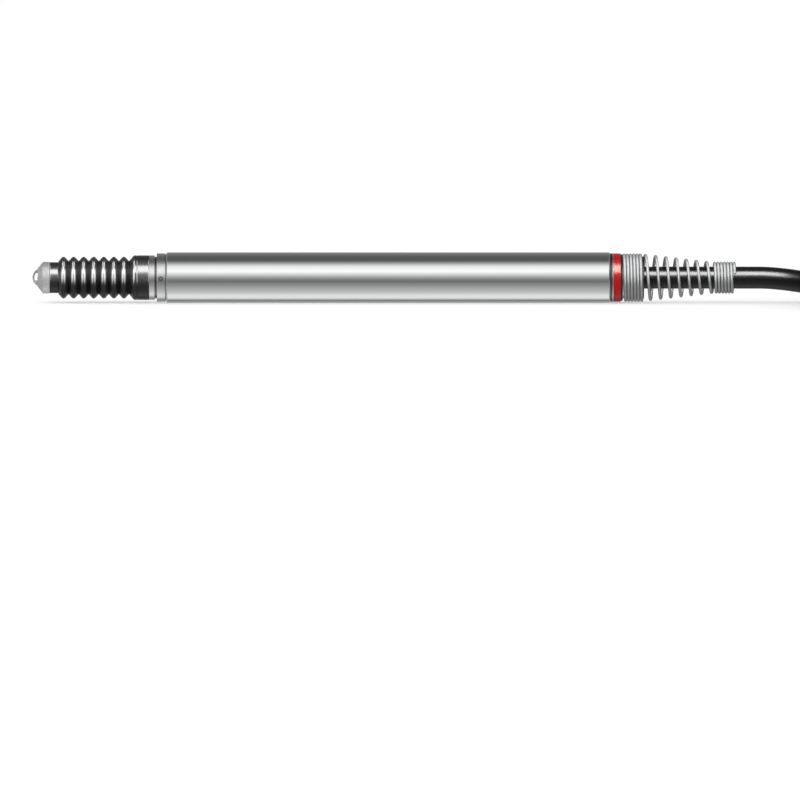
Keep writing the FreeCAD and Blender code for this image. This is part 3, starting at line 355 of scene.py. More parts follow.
join(world, world_seen_by.outputs["Is Transmission Ray"], straight_ray.inputs[1])
join(world, straight_ray.outputs[0], white_or_light.inputs[0])
join(world, all_round.outputs[0], white_or_light.inputs[1])
join(world, seen_white.outputs[0], white_or_light.inputs[2])
join(world, world_seen_by.outputs["Is Glossy Ray"], gloss_or_not.inputs[0])
join(world, white_or_light.outputs[0], gloss_or_not.inputs[1])
join(world, in_gloss.outputs[0], gloss_or_not.inputs[2])
join(world, gloss_or_not.outputs[0], world_out.inputs[0])


# Lamps: three soft ones light the whole object. The others show only as highlights in gloss: one
# on the cable, the bellows and the red ring, one at either side on the bellows, one on the ball
# and one, of two parts, on the strain relief's wire.
def lamp(name, place, power, width, height, in_gloss_only=False):
    """A soft lamp at a place in metres, turned towards the probe's middle. It gives light and
    shadow, or else only its own highlight in gloss."""
    data = bpy.data.lights.new(name, "AREA")
    data.shape = "RECTANGLE"
    data.size, data.size_y = width, height
    data.energy = power
    made = bpy.data.objects.new(name, data)
    made.location = place
    away = np.array(place) - VIEW_MIDDLE
    turn_z = math.atan2(away[0], -away[1])
    turn_x = math.atan2(math.hypot(away[0], away[1]), away[2])
    made.rotation_euler = (turn_x, 0.0, turn_z)
    made.visible_glossy = in_gloss_only
    made.visible_diffuse = not in_gloss_only
    made.visible_camera = False
    bpy.context.scene.collection.objects.link(made)
    return made


def shines_on(name, *lamps):
    """A collection of pieces, which each piece's section adds to: these lamps shine on no other
    piece, and no other piece shades them."""
    pieces = bpy.data.collections.new(name)
    for one in lamps:
        one.light_linking.receiver_collection = pieces
        one.light_linking.blocker_collection = pieces
    return pieces


lamp("key_lamp", (-0.9, -1.6, 1.6), power=15.0, width=1.6, height=1.2)
lamp("fill_lamp", (1.2, -1.8, 0.9), power=5.0, width=1.2, height=1.2)
lamp("far_lamp", (0.2, 2.0, 1.6), power=6.0, width=1.6, height=1.2)
strip_lamp = lamp(
    "strip_lamp", (0.0368, -1.67, 1.84), power=1000.0, width=6.0, height=1.6, in_gloss_only=True
)
# The parts of the light at either side, from the top down: place, power, width and height. Its
# gloss runs down every crest of the bellows, begins high up and fades out below the middle.
SIDE_PARTS = [
    ((1.02, -0.1, 1.97), 130.0, 1.4, 1.1),
    ((1.9, -1.6, 0.72), 620.0, 3.75, 1.8),
    ((1.9, -1.75, -0.42), 80.0, 3.65, 0.42),
    ((1.9, -1.75, -0.84), 36.0, 3.65, 0.42),
]
side_lamps = [
    lamp("%s_lamp_%d" % (side, part), (way * x, y, z), power, width, height, in_gloss_only=True)
    for side, way in (("left", -1), ("right", 1))
    for part, ((x, y, z), power, width, height) in enumerate(SIDE_PARTS)
]
ball_lamp = lamp(
    "ball_lamp", (-2.2, -1.15, 0.4), power=60.0, width=4.0, height=3.4, in_gloss_only=True
)
upper_wire_lamp = lamp(
    "upper_wire_lamp", (0.08, 0.21, 2.42), power=115.0, width=8.0, height=1.6, in_gloss_only=True
)
front_wire_lamp = lamp(
    "front_wire_lamp", (0.08, -2.27, 0.9), power=152.0, width=8.0, height=3.4, in_gloss_only=True
)
glossy_black = shines_on("glossy_black", strip_lamp)
polished_tip = shines_on("polished_tip", ball_lamp)
round_crests = shines_on("round_crests", *side_lamps)
wound_wire = shines_on("wound_wire", upper_wire_lamp, front_wire_lamp)
glossy_black.objects.link(cable)


# Casing: the ground steel tube of 8 mm that is the clamping shank, with a lead-in at its front
# and a broken edge at its rear. Centreless ground, so the finest lines run round it.
CASING_FRONT, CASING_REAR = -0.35, 70.0
CASING_RADIUS, CASING_BORE = 4.0, 3.5
# A turned piece has this many sides, and past this angle in degrees an edge is shaded sharp.
SIDES, CREASE = 160, 35.0
# A rounding takes at most this share of the shorter side beside it. The points beyond its ends
# stand at this share of its radius, or else of that side.
ROUNDING_ROOM, BEYOND_ROUNDING, BEYOND_ROOM = 0.42, 0.4, 0.06


def round_corners(corners, closed, steps=5):
    """Corners (x, radius, rounding) with each rounding as an arc tangent to both sides. A point
    just beyond each end of an arc keeps the flats flat where they are shaded smoothly."""
    places = np.array(corners, float)[:, :2]
    roundings = np.array(corners, float)[:, 2]
    outline = []
    for number, (here, rounding) in enumerate(zip(places, roundings)):
        if rounding <= 0:
            outline.append(here[None])
            continue
        back = places[number - 1] - here
        on = places[(number + 1) % len(places)] - here
        room = min(np.linalg.norm(back), np.linalg.norm(on))
        back, on = back / np.linalg.norm(back), on / np.linalg.norm(on)
        half = math.acos(np.clip(back @ on, -1.0, 1.0)) / 2
        cut = min(rounding / math.tan(half), ROUNDING_ROOM * room)
        rounding = cut * math.tan(half)
        inward = (back + on) / np.linalg.norm(back + on)
        centre = here + inward * rounding / math.sin(half)
        first, last = here + back * cut - centre, here + on * cut - centre
        sweep = math.pi - 2 * half
        share = np.linspace(0, 1, steps + 1)[:, None]
        arc = (np.sin((1 - share) * sweep) * first + np.sin(share * sweep) * last) / math.sin(sweep)
        guard = min(BEYOND_ROUNDING * rounding, BEYOND_ROOM * room)
        outline.append((here + back * (cut + guard))[None])
        outline.append(centre + arc)
        outline.append((here + on * (cut + guard))[None])
    return np.vstack(outline)


def grid_faces(rows, columns, rows_closed, columns_closed):
    """Quads between neighbours of a grid whose points are numbered row by row."""
    row = np.arange(rows if rows_closed else rows - 1)[:, None]
    column = np.arange(columns if columns_closed else columns - 1)[None, :]
    next_row, next_column = (row + 1) % rows, (column + 1) % columns
    return np.stack(
        [
            row * columns + column,
            row * columns + next_column,
            next_row * columns + next_column,
            next_row * columns + column,
        ],
        axis=-1,
    ).reshape(-1, 4)


def make_piece(name, points, quads, triangles, made, crease=CREASE):
    """A mesh object at the origin from points in millimetres. Its faces point outwards: where
    the sum of the wedges between the faces and the origin is negative, they are turned."""
    points = np.asarray(points, float)
    quads = np.asarray(quads, int).reshape(-1, 4)
    triangles = np.asarray(triangles, int).reshape(-1, 3)
    wedges = np.vstack([quads[:, [0, 1, 2]], quads[:, [0, 2, 3]], triangles])
    a, b, c = (points[wedges[:, corner]] for corner in range(3))
    if np.einsum("ij,ij->i", a, np.cross(b, c)).sum() < 0:
        quads, triangles = quads[:, ::-1], triangles[:, ::-1]
    mesh = bpy.data.meshes.new(name)
    mesh.from_pydata((points * MM).tolist(), [], quads.tolist() + triangles.tolist())
    mesh.polygons.foreach_set("use_smooth", np.ones(len(mesh.polygons), bool))
    mesh.set_sharp_from_angle(angle=math.radians(crease))
    mesh.materials.append(made)
    mesh.update()
    piece = bpy.data.objects.new(name, mesh)
    bpy.context.scene.collection.objects.link(piece)
    return piece


def turned(profile, closed=True, centre=(0.0, 0.0), sides=SIDES):
    """Points, quads and triangles of a profile of (x, radius) turned about a line along X
    through centre: at angle t the point is (x, y0 - radius sin t, z0 + radius cos t). An open
    profile ends on the axis, in poles."""
    angle = np.linspace(0, 2 * math.pi, sides, endpoint=False)
    inside = profile if closed else profile[1:-1]
    x = np.repeat(inside[:, :1], sides, axis=1)
    y = centre[0] - inside[:, 1:] * np.sin(angle)
    z = centre[1] + inside[:, 1:] * np.cos(angle)
    points = np.stack([x, y, z], axis=-1).reshape(-1, 3)
    quads = grid_faces(len(inside), sides, rows_closed=closed, columns_closed=True)
    triangles = np.empty((0, 3), int)
    if not closed:
        around = np.arange(sides)
        after = (around + 1) % sides
        last_row = (len(inside) - 1) * sides
        first_pole, last_pole = len(points), len(points) + 1
        poles = [[profile[0, 0], *centre], [profile[-1, 0], *centre]]
        points = np.vstack([points, poles])
        triangles = np.vstack(
            [
                np.column_stack([np.full(sides, first_pole), after, around]),
                np.column_stack([np.full(sides, last_pole), last_row + around, last_row + after]),
            ]
        )
    return points, quads, triangles


def turn_piece(name, profile, made, **shape):
    """A piece of this profile, turned as turned() says."""
    return make_piece(name, *turned(profile, **shape), made)


casing_steel = finish("casing_steel", (0.66, 0.665, 0.67), 0.11, Metallic=1.0)
vary(casing_steel, "Roughness", grain(casing_steel, 3.0, (1, 4, 4)), 0.09, 0.13)
raise_by(casing_steel, grain(casing_steel, 0.09, (1, 60, 60), detail=4.0), 0.0004)
casing = turn_piece(
    "casing",
    round_corners(
        [
            (CASING_FRONT, CASING_BORE, 0.02), (CASING_REAR, CASING_BORE, 0.02),
            (CASING_REAR, 3.85, 0.03), (69.85, CASING_RADIUS, 0.04), (0.0, CASING_RADIUS, 0.08),
            (CASING_FRONT, 3.65, 0.03),
        ],
        closed=True,
    ),
    casing_steel,
)
fit(casing, "housing", "casing_steel", "casing_tube")


# Front bush: turned steel, screwed into the casing. It has a collar with two holes for a pin
# spanner, a groove, a narrower ring and the nose that the bellows grips.
BUSH_FRONT, NOSE_REAR = -4.98, -2.88
COLLAR_RADIUS, SCREWED_RADIUS = 3.845, 3.48
HOLE_PLACE, HOLE_RADIUS, DRILL_LENGTH = -1.005, 0.3, 12.0


def bands_along_x(made, bands):
    """Colours the shader's base by the place along X: each band is (place in millimetres,
    grey), with even change between them. Steel's blue is 1.01 of its grey."""
    first, last = bands[0][0], bands[-1][0]
    place = add(made, "ShaderNodeTexCoord")
    parts = add(made, "ShaderNodeSeparateXYZ")
    spread = add(made, "ShaderNodeMapRange", From_Min=first * MM, From_Max=last * MM)
    ramp = ramp_through(
        made,
        [((x - first) / (last - first), (grey, grey, 1.01 * grey)) for x, grey in bands],
    )
    join(made, place.outputs["Object"], parts.inputs[0])
    join(made, parts.outputs["X"], spread.inputs["Value"])
    join(made, spread.outputs["Result"], ramp.inputs["Fac"])
    shader = made.node_tree.nodes["Principled BSDF"]
    join(made, ramp.outputs["Color"], shader.inputs["Base Color"])


bush_steel = finish("bush_steel", (0.6, 0.61, 0.62), 0.24, Metallic=1.0)
# Steel grey along X, with the groove between the narrower ring and the collar painted dark as
# painted shade.
bands_along_x(
    bush_steel,
    [(-5.0, 0.6), (-2.0, 0.62), (-1.97, 0.15), (-1.68, 0.15), (-1.65, 0.62), (0.0, 0.62)],
)
vary(bush_steel, "Roughness", grain(bush_steel, 0.8, (1, 6, 6)), 0.2, 0.3)
# Inside the spanner holes, and a little at their edge, the steel is painted near black as painted
# shade: what counts is the distance from the line that both are drilled along.
hole_from = add(bush_steel, "ShaderNodeTexCoord")
hole_middle = add(
    bush_steel, "ShaderNodeMapping", Location=(-HOLE_PLACE * MM, 0.0, 0.0), Scale=(1.0, 0.0, 1.0)
)
hole_reach = add(bush_steel, "ShaderNodeVectorMath")
hole_reach.operation = "LENGTH"
hole_edge = add(
    bush_steel, "ShaderNodeMapRange", From_Min=HOLE_RADIUS * MM, From_Max=1.5 * HOLE_RADIUS * MM
)
painted_hole_shade = add(bush_steel, "ShaderNodeMix")
painted_hole_shade.data_type = "RGBA"
painted_hole_shade.inputs["A"].default_value = (0.02, 0.02, 0.02, 1.0)
bush_shader = bush_steel.node_tree.nodes["Principled BSDF"]
join(bush_steel, hole_from.outputs["Object"], hole_middle.inputs["Vector"])
join(bush_steel, hole_middle.outputs["Vector"], hole_reach.inputs[0])
join(bush_steel, hole_reach.outputs["Value"], hole_edge.inputs["Value"])
join(bush_steel, hole_edge.outputs["Result"], painted_hole_shade.inputs["Factor"])
join(bush_steel, bush_shader.inputs["Base Color"].links[0].from_socket, painted_hole_shade.inputs["B"])
join(bush_steel, painted_hole_shade.outputs["Result"], bush_shader.inputs["Base Color"])
raise_by(bush_steel, grain(bush_steel, 0.07, (1, 80, 80), detail=3.0), 0.0012)
bush = turn_piece(
    "bush",
    round_corners(
        [
            (BUSH_FRONT, 2.82, 0.03), (5.65, 2.82, 0.03), (5.65, SCREWED_RADIUS, 0.05),
            (CASING_FRONT, SCREWED_RADIUS, 0.02), (CASING_FRONT, COLLAR_RADIUS, 0.03),
            (-1.66, COLLAR_RADIUS, 0.07), (-1.66, 3.3, 0.03), (-1.98, 3.3, 0.03),
            (-1.98, 3.525, 0.05), (NOSE_REAR, 3.525, 0.05), (NOSE_REAR, 3.15, 0.02),
            (BUSH_FRONT, 3.15, 0.08),
        ],
        closed=True,
    ),
    bush_steel,
    sides=240,
)
# One drill, taken right across, makes both holes.
drill_mesh = bpy.data.meshes.new("drill")
drill_shape = bmesh.new()
across = mathutils.Matrix.Rotation(math.pi / 2, 4, "X")
bmesh.ops.create_cone(
    drill_shape,
    cap_ends=True,
    segments=32,
    radius1=HOLE_RADIUS * MM,
    radius2=HOLE_RADIUS * MM,
    depth=DRILL_LENGTH * MM,
    matrix=mathutils.Matrix.Translation((HOLE_PLACE * MM, 0, 0)) @ across,
)
drill_shape.to_mesh(drill_mesh)
drill_shape.free()
drill = bpy.data.objects.new("drill", drill_mesh)
bpy.context.scene.collection.objects.link(drill)
drilled = bush.modifiers.new("spanner_holes", "BOOLEAN")
drilled.operation = "DIFFERENCE"
drilled.solver = "EXACT"
drilled.object = drill
bush_drilled = bpy.data.meshes.new_from_object(
    bush.evaluated_get(bpy.context.evaluated_depsgraph_get())
)
bush.modifiers.clear()
bush_drilled.set_sharp_from_angle(angle=math.radians(CREASE))
bush.data = bush_drilled
bpy.data.objects.remove(drill)
fit(bush, "housing", "bush_steel", "front_bush")


# Bellows: moulded black rubber, seven round-crested folds between a small cuff on the plunger's
# head and a large cuff stretched over the bush's nose.
FOLDS, FOLD_PITCH, FOLDS_FRONT = 7, 1.59, -17.205
VALLEY, CREST, CUFF_RADIUS, RUBBER_WALL = 2.625, 3.32, 3.53, 0.35
HEAD_SHOULDER = -18.6
rubber = finish("bellows_rubber", (0.0035, 0.0035, 0.004), 0.25, Specular_IOR_Level=0.34)
tint(rubber, grain(rubber, 2.5), (0.0025, 0.0025, 0.003), (0.0045, 0.0045, 0.005))
vary(rubber, "Roughness", grain(rubber, 1.2), 0.242, 0.258)
raise_by(rubber, grain(rubber, 0.4, detail=2.0), 0.0004)


def fold_line(steps, foot, top):
    """All folds as (x, radius): a round crest and a narrower valley each, whose height over the
    valley is 0.6 of the half sine to the power 0.85 and 0.4 of its square."""
    share = np.arange(steps) / steps
    wave = np.abs(np.sin(math.pi * share))
    radius = foot + (top - foot) * (0.6 * wave**0.85 + 0.4 * wave**2)
    x = FOLDS_FRONT + FOLD_PITCH * (np.arange(FOLDS)[:, None] + share[None, :]).ravel()
    return np.column_stack([x, np.tile(radius, FOLDS)])


outside_line = fold_line(18, VALLEY, CREST)
inside_line = fold_line(10, VALLEY - RUBBER_WALL, CREST - RUBBER_WALL)
rear_part = round_corners(
    [
        (-6.05, 2.64, 0.0), (-5.3, CUFF_RADIUS, 0.4), (-4.84, CUFF_RADIUS, 0.04),
        (-4.76, 3.46, 0.04), (-4.68, CUFF_RADIUS, 0.04), (NOSE_REAR, CUFF_RADIUS, 0.1),
        (NOSE_REAR, 3.17, 0.02), (-5.2, 3.17, 0.02), (-6.05, 2.3, 0.0),
    ],
    closed=True,
)
front_part = round_corners(
    [
        (-17.21, 2.07, 0.02), (HEAD_SHOULDER, 2.07, 0.03), (HEAD_SHOULDER, 2.45, 0.12),
        (-17.25, 2.45, 0.08),
    ],
    closed=True,
)
bellows = turn_piece(
    "bellows_rubber", np.vstack([outside_line, rear_part, inside_line[::-1], front_part]), rubber
)
glossy_black.objects.link(bellows)
round_crests.objects.link(bellows)
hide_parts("bellows")
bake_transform(bellows)


# Contact point: a turned steel holder screwed into the plunger, grit-blasted, its rim rolled
# over a polished hard metal ball.
BALL_RADIUS, BALL_CENTRE = 1.5, -19.84
SOCKET_RADIUS, SOCKET_SWEEP = BALL_RADIUS + 0.01, math.radians(120.5)
point_steel = finish("point_steel", (0.78, 0.78, 0.79), 0.62, Metallic=1.0)
tint(point_steel, grain(point_steel, 0.18), (0.64, 0.64, 0.65), (0.92, 0.92, 0.93), 0.35, 0.65)
vary(point_steel, "Roughness", grain(point_steel, 0.4), 0.55, 0.7)
raise_by(point_steel, grain(point_steel, 0.14, detail=4.0), 0.012)
# The socket is an arc round the ball's centre, from behind the ball to the rolled rim.
socket_angle = np.linspace(0, SOCKET_SWEEP, 24)
socket_line = np.column_stack(
    [BALL_CENTRE + SOCKET_RADIUS * np.cos(socket_angle), SOCKET_RADIUS * np.sin(socket_angle)]
)
point_line = round_corners(
    [
        (-20.56, 1.33, 0.0), (-20.56, 1.4, 0.02), (-19.72, 2.43, 0.05), (-19.7, 2.5, 0.02),
        (HEAD_SHOULDER, 2.5, 0.06), (HEAD_SHOULDER, 1.23, 0.02), (-15.2, 1.23, 0.1),
        (-15.2, 0.0, 0.0),
    ],
    closed=False,
)
point = turn_piece(
    "point_holder", np.vstack([socket_line[:-1], point_line]), point_steel, closed=False
)
fit(point, "plunger", "point_steel", "contact_point")
polished = finish("polished_ball", (0.78, 0.78, 0.79), 0.05, Metallic=1.0)
vary(polished, "Roughness", grain(polished, 0.7), 0.035, 0.07)
ball_angle = np.linspace(0, math.pi, 65)
ball = turn_piece(
    "ball",
    np.column_stack(
        [BALL_CENTRE - BALL_RADIUS * np.cos(ball_angle), BALL_RADIUS * np.sin(ball_angle)]
    ),
    polished,
    closed=False,
    sides=96,
)
polished_tip.objects.link(ball)
fit(ball, "plunger", "polished_ball", "contact_ball")


# Rear cap: dark turned steel, screwed into the casing's rear end. Its flange shows as a thin
# ring behind the casing, and its hub carries the marking ring, a washer and the spring.
FLANGE_REAR, HUB_RADIUS = 70.55, 3.345
cap_steel = finish("cap_steel", (0.11, 0.11, 0.115), 0.3, Metallic=1.0)
# Dark steel along X, with a painted highlight as a pale band at the flange's rear rim, which fades
# back to dark along the hub.
bands_along_x(
    cap_steel, [(65.0, 0.1), (70.38, 0.1), (70.41, 0.62), (FLANGE_REAR, 0.62), (75.5, 0.1)]
)
vary(cap_steel, "Roughness", grain(cap_steel, 0.8, (1, 6, 6)), 0.25, 0.36)
raise_by(cap_steel, grain(cap_steel, 0.07, (1, 80, 80), detail=3.0), 0.001)
cap = turn_piece(
    "cap",
    round_corners(
        [
            (65.5, 2.45, 0.02), (75.0, 2.45, 0.02), (75.0, 1.8, 0.02), (75.4, 1.8, 0.04),
            (75.4, HUB_RADIUS, 0.1), (FLANGE_REAR, HUB_RADIUS, 0.02),
            (FLANGE_REAR, COLLAR_RADIUS, 0.05), (CASING_REAR, COLLAR_RADIUS, 0.05),
            (CASING_REAR, SCREWED_RADIUS, 0.02), (68.12, SCREWED_RADIUS, 0.02),
            (68.12, 2.78, 0.02), (67.38, 2.78, 0.02), (67.38, SCREWED_RADIUS, 0.02),
            (65.5, SCREWED_RADIUS, 0.05),
        ],
        closed=True,
    ),
    cap_steel,
)
fit(cap, "housing", "cap_steel", "rear_cap")


# Marking ring and washer: a moulded ring of glossy red plastic and a thin rubber washer behind
# it, held between the cap's flange and the spring.
MARKING_REAR, WASHER_REAR, WASHER_RADIUS, RING_BORE = 71.7, 72.0, 3.7, 3.365
red = finish(
    "red_plastic", (0.54, 0.004, 0.008), 0.24, Specular_IOR_Level=0.26,
    Specular_Tint=(1.0, 0.9, 0.78, 1.0),
)
tint(red, grain(red, 1.5), (0.52, 0.003, 0.006), (0.56, 0.005, 0.01))
vary(red, "Roughness", grain(red, 1.0), 0.23, 0.26)
marking = turn_piece(
    "marking",
    round_corners(
        [
            (FLANGE_REAR, RING_BORE, 0.02), (MARKING_REAR, RING_BORE, 0.02),
            (MARKING_REAR, COLLAR_RADIUS, 0.06), (FLANGE_REAR, COLLAR_RADIUS, 0.06),
        ],
        closed=True,
    ),
    red,
)
glossy_black.objects.link(marking)
fit(marking, "housing", "red_plastic", "marking_ring")
washer_rubber = finish("washer_rubber", (0.012, 0.012, 0.012), 0.5)
vary(washer_rubber, "Roughness", grain(washer_rubber, 0.2), 0.42, 0.58)
washer = turn_piece(
    "washer",
    round_corners(
        [
            (MARKING_REAR, RING_BORE, 0.02), (WASHER_REAR, RING_BORE, 0.02),
            (WASHER_REAR, WASHER_RADIUS, 0.03), (MARKING_REAR, WASHER_RADIUS, 0.03),
        ],
        closed=True,
    ),
    washer_rubber,
)
fit(washer, "housing", "black_rubber", "rear_washer")


# Strain relief: one spring wound of steel wire. It grips the cap's hub with close turns, opens
# into a taper that bends with the cable, and closes again round the cable.
WIRE_RADIUS, FRONT_COIL, REAR_COIL = 0.24, 3.605, 2.3
# How many turns are wound where the close turns, the taper and the last close turns start and
# end, and where that is along X.
RELIEF_TURNS = [0.0, 5.7, 12.7, 19.2]
RELIEF_PLACES = [72.24, 75.15, 86.42, 89.72]


def coil_line(turns, places, radii, steps_a_turn):
    """A coil's centre line: the angle runs evenly, and the place along X and the radius go
    between the values given at each number of turns. At angle t it stands at
    (x, -radius sin t, radius cos t)."""
    count = int((turns[-1] - turns[0]) * steps_a_turn) + 1
    wound = np.linspace(turns[0], turns[-1], count)
    angle = 2 * math.pi * wound
    x = np.interp(wound, turns, places)
    radius = np.interp(wound, turns, radii)
    outward = np.column_stack([0 * angle, -np.sin(angle), np.cos(angle)])
    return np.column_stack([x, -radius * np.sin(angle), radius * np.cos(angle)]), outward


def sweep_bar(name, line, outward, section, made):
    """A bar carried along a line and closed at both ends. Its section, (outward, sideways) from
    the line, stands square to the line's direction."""
    along = np.gradient(line, axis=0)
    along /= np.linalg.norm(along, axis=1)[:, None]
    outward = outward - along * np.einsum("ij,ij->i", along, outward)[:, None]
    outward /= np.linalg.norm(outward, axis=1)[:, None]
    sideways = np.cross(along, outward)
    ring = outward[:, None, :] * section[:, :1] + sideways[:, None, :] * section[:, 1:]
    points = (line[:, None, :] + ring).reshape(-1, 3)
    sides = len(section)
    quads = grid_faces(len(line), sides, rows_closed=False, columns_closed=True)
    around = np.arange(sides)
    after = (around + 1) % sides
    last_row = (len(line) - 1) * sides
    first_end, last_end = len(points), len(points) + 1
    points = np.vstack([points, line[[0, -1]]])
    triangles = np.vstack(
        [
            np.column_stack([np.full(sides, first_end), after, around]),
            np.column_stack([np.full(sides, last_end), last_row + around, last_row + after]),
        ]
    )
    return make_piece(name, points, quads, triangles, made, crease=50.0)


def round_section(radius, sides):
    """A circle as (outward, sideways)."""
    angle = np.linspace(0, 2 * math.pi, sides, endpoint=False)
    return radius * np.column_stack([np.cos(angle), np.sin(angle)])


spring_steel = finish("spring_steel", (0.37, 0.373, 0.376), 0.51, Metallic=1.0)
vary(spring_steel, "Roughness", grain(spring_steel, 0.5), 0.47, 0.56)
raise_by(spring_steel, grain(spring_steel, 0.06, detail=2.0), 0.0006)
relief_line, relief_outward = coil_line(
    RELIEF_TURNS,
    RELIEF_PLACES,
    [FRONT_COIL, FRONT_COIL, REAR_COIL, REAR_COIL],
    steps_a_turn=64,
)
relief = sweep_bar(
    "relief_wire", relief_line, relief_outward, round_section(WIRE_RADIUS, 14), spring_steel
)
wound_wire.objects.link(relief)
fit(relief, "housing", "spring_steel", "strain_relief_spring")


# Return spring: inside the casing, wound of finer steel wire with one close turn at each end,
# pressed between the plunger's collar and its seat.
RETURN_WIRE_RADIUS, RETURN_COIL = 0.16, 1.69
return_line, return_outward = coil_line(
    [0.0, 1.0, 6.0, 7.0], [17.66, 18.05, 29.45, 29.84], 4 * [RETURN_COIL], steps_a_turn=40
)
return_wire = sweep_bar(
    "return_wire",
    return_line,
    return_outward,
    round_section(RETURN_WIRE_RADIUS, 10),
    spring_steel,
)
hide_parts("return_spring")
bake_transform(return_wire)


# Pieces held inside, whose CAD shapes stay: each gets the finish of its metal, plastic,
# laminate or winding.
def dress(made, *nodes):
    """Gives CAD nodes a material of their own."""
    for name in nodes:
        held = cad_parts[name]
        if not held.material_slots:
            held.data.materials.append(made)
        for place in held.material_slots:
            place.material = made


inner_steel = finish("inner_steel", (0.56, 0.57, 0.58), 0.28, Metallic=1.0)
vary(inner_steel, "Roughness", grain(inner_steel, 0.6, (1, 5, 5)), 0.22, 0.34)
dress(
    inner_steel, "plunger_shaft", "guide_bush", "guide_pin", "spring_collar", "spring_seat",
    "spacer_sleeve", "core_rod", "core_nut",
)
cage_brass = finish("cage_brass", (0.72, 0.5, 0.2), 0.3, Metallic=1.0)
tint(cage_brass, grain(cage_brass, 1.2), (0.66, 0.44, 0.17), (0.76, 0.54, 0.24))
dress(cage_brass, "ball_cage")
dress(polished, "guide_balls")
ferrite = finish("ferrite", (0.045, 0.043, 0.042), 0.55)
tint(ferrite, grain(ferrite, 0.3), (0.03, 0.03, 0.03), (0.06, 0.058, 0.056))
dress(ferrite, "ferrite_core")
bobbin_plastic = finish("bobbin_plastic", (0.7, 0.68, 0.6), 0.45)
tint(bobbin_plastic, grain(bobbin_plastic, 1.0), (0.66, 0.64, 0.56), (0.74, 0.72, 0.64))
dress(bobbin_plastic, "coil_bobbin")
copper = finish("winding_copper", (0.72, 0.3, 0.14), 0.3, Metallic=1.0)
raise_by(copper, grain(copper, 0.08, (1, 60, 60), detail=1.0), 0.02)
dress(copper, "primary_winding", "secondary_winding_front", "secondary_winding_rear")
shield_metal = finish("shield_metal", (0.5, 0.48, 0.45), 0.35, Metallic=1.0)
vary(shield_metal, "Roughness", grain(shield_metal, 1.0), 0.28, 0.42)
dress(shield_metal, "shield_sleeve")
laminate = finish("board_laminate", (0.05, 0.2, 0.09), 0.4)
tint(laminate, grain(laminate, 0.4), (0.04, 0.17, 0.075), (0.06, 0.23, 0.105))
dress(laminate, "terminal_board")
core_insulation = finish("core_insulation", (0.75, 0.73, 0.7), 0.4)
tint(core_insulation, grain(core_insulation, 1.0), (0.7, 0.68, 0.65), (0.8, 0.78, 0.75))
dress(core_insulation, "cable_cores")
black_rubber = finish("black_rubber", (0.014, 0.014, 0.014), 0.45)
vary(black_rubber, "Roughness", grain(black_rubber, 0.4), 0.38, 0.52)
raise_by(black_rubber, grain(black_rubber, 0.15), 0.002)
dress(black_rubber, "cap_seal", "cable_grommet")


# Tie: a woven hook-and-loop strap, 10 mm wide, drawn tight round both sides of the hank, with
# its end pressed down on its own back.
TIE_LEFT, TIE_RIGHT, TIE_BOTTOM, TIE_TOP = -27.6, 4.0, -4.0, 13.7
TIE_START, TIE_END = -13.0, -20.5
# It rises onto its own back along this way, by a little more than its thickness.
RISE_START, RISE_LENGTH, RISE_HEIGHT = 0.5, 5.0, 1.02 * TIE_THICKNESS
TIE_HALF_WIDTH, TIE_HALF_THICKNESS = TIE_WIDTH / 2, TIE_THICKNESS / 2
TIE_BEND, TIE_EDGE = 1.6, 0.2


def strap_line(inset, bend):
    """Centre line in the YZ plane, as evenly spaced points: from its start on the top it goes
    left, down, along the bottom and up again, then rises and lies on its start."""
    left, right = TIE_LEFT + inset, TIE_RIGHT - inset
    bottom, top = TIE_BOTTOM + inset, TIE_TOP - inset
    line = [np.array([[TIE_START, top]])]
    for number, (y, z) in enumerate([(left, top), (left, bottom), (right, bottom), (right, top)]):
        y -= bend * np.sign(y - (left + right) / 2)
        z -= bend * np.sign(z - (bottom + top) / 2)
        angle = np.linspace(number + 1, number + 2, 9) * math.pi / 2
        line.append(np.column_stack([y + bend * np.cos(angle), z + bend * np.sin(angle)]))
    over_y = np.linspace(RISE_START, TIE_END, 24)
    over_z = top + RISE_HEIGHT * eased((RISE_START - over_y) / RISE_LENGTH)
    line.append(np.column_stack([over_y, over_z]))
    line = np.vstack(line)
    reach = np.concatenate([[0], np.cumsum(np.linalg.norm(np.diff(line, axis=0), axis=1))])
    even = np.linspace(0, reach[-1], 220)
    return np.column_stack([np.interp(even, reach, line[:, axis]) for axis in range(2)])


strap_section = round_corners(
    [
        (outward * TIE_HALF_THICKNESS, sideways * TIE_HALF_WIDTH, TIE_EDGE)
        for outward, sideways in ((-1, -1), (1, -1), (1, 1), (-1, 1))
    ],
    closed=True,
    steps=3,
)
strap = finish("tie_strap", (0.03, 0.03, 0.033), 0.75, Sheen_Weight=0.4, Sheen_Roughness=0.5)
weave = grain(strap, 0.35, detail=1.0)
tint(strap, weave, (0.022, 0.022, 0.025), (0.05, 0.05, 0.055))
raise_by(strap, weave, 0.05)
strap_yz = strap_line(TIE_HALF_THICKNESS, TIE_BEND)
strap_way = np.gradient(strap_yz, axis=0)
tie = sweep_bar(
    "tie",
    np.column_stack([np.full(len(strap_yz), TIE_PLACE), strap_yz]),
    np.column_stack([0 * strap_way[:, 0], strap_way[:, 1], -strap_way[:, 0]]),
    strap_section,
    strap,
)
fit(tie, "housing", "tie_strap", "hank_tie")


# Connector: a small round plug. A ribbed rubber boot holds the cable; a nickel-plated shell
# carries a black insert with five gold-plated pins, and a knurled ring turns on it.
PLUG_X, PLUG_Y, PLUG_Z = 220.3, -2.1, 2.0
PLUG_AXIS = (PLUG_Y, PLUG_Z)
BOOT_TAPER, BOOT_SMALL, BOOT_LARGE = 8.25, 2.45, 4.2
GROOVES, FIRST_GROOVE, GROOVE_PITCH, GROOVE_WIDTH, GROOVE_DEPTH = 5, 0.9, 1.4, 0.5, 0.4


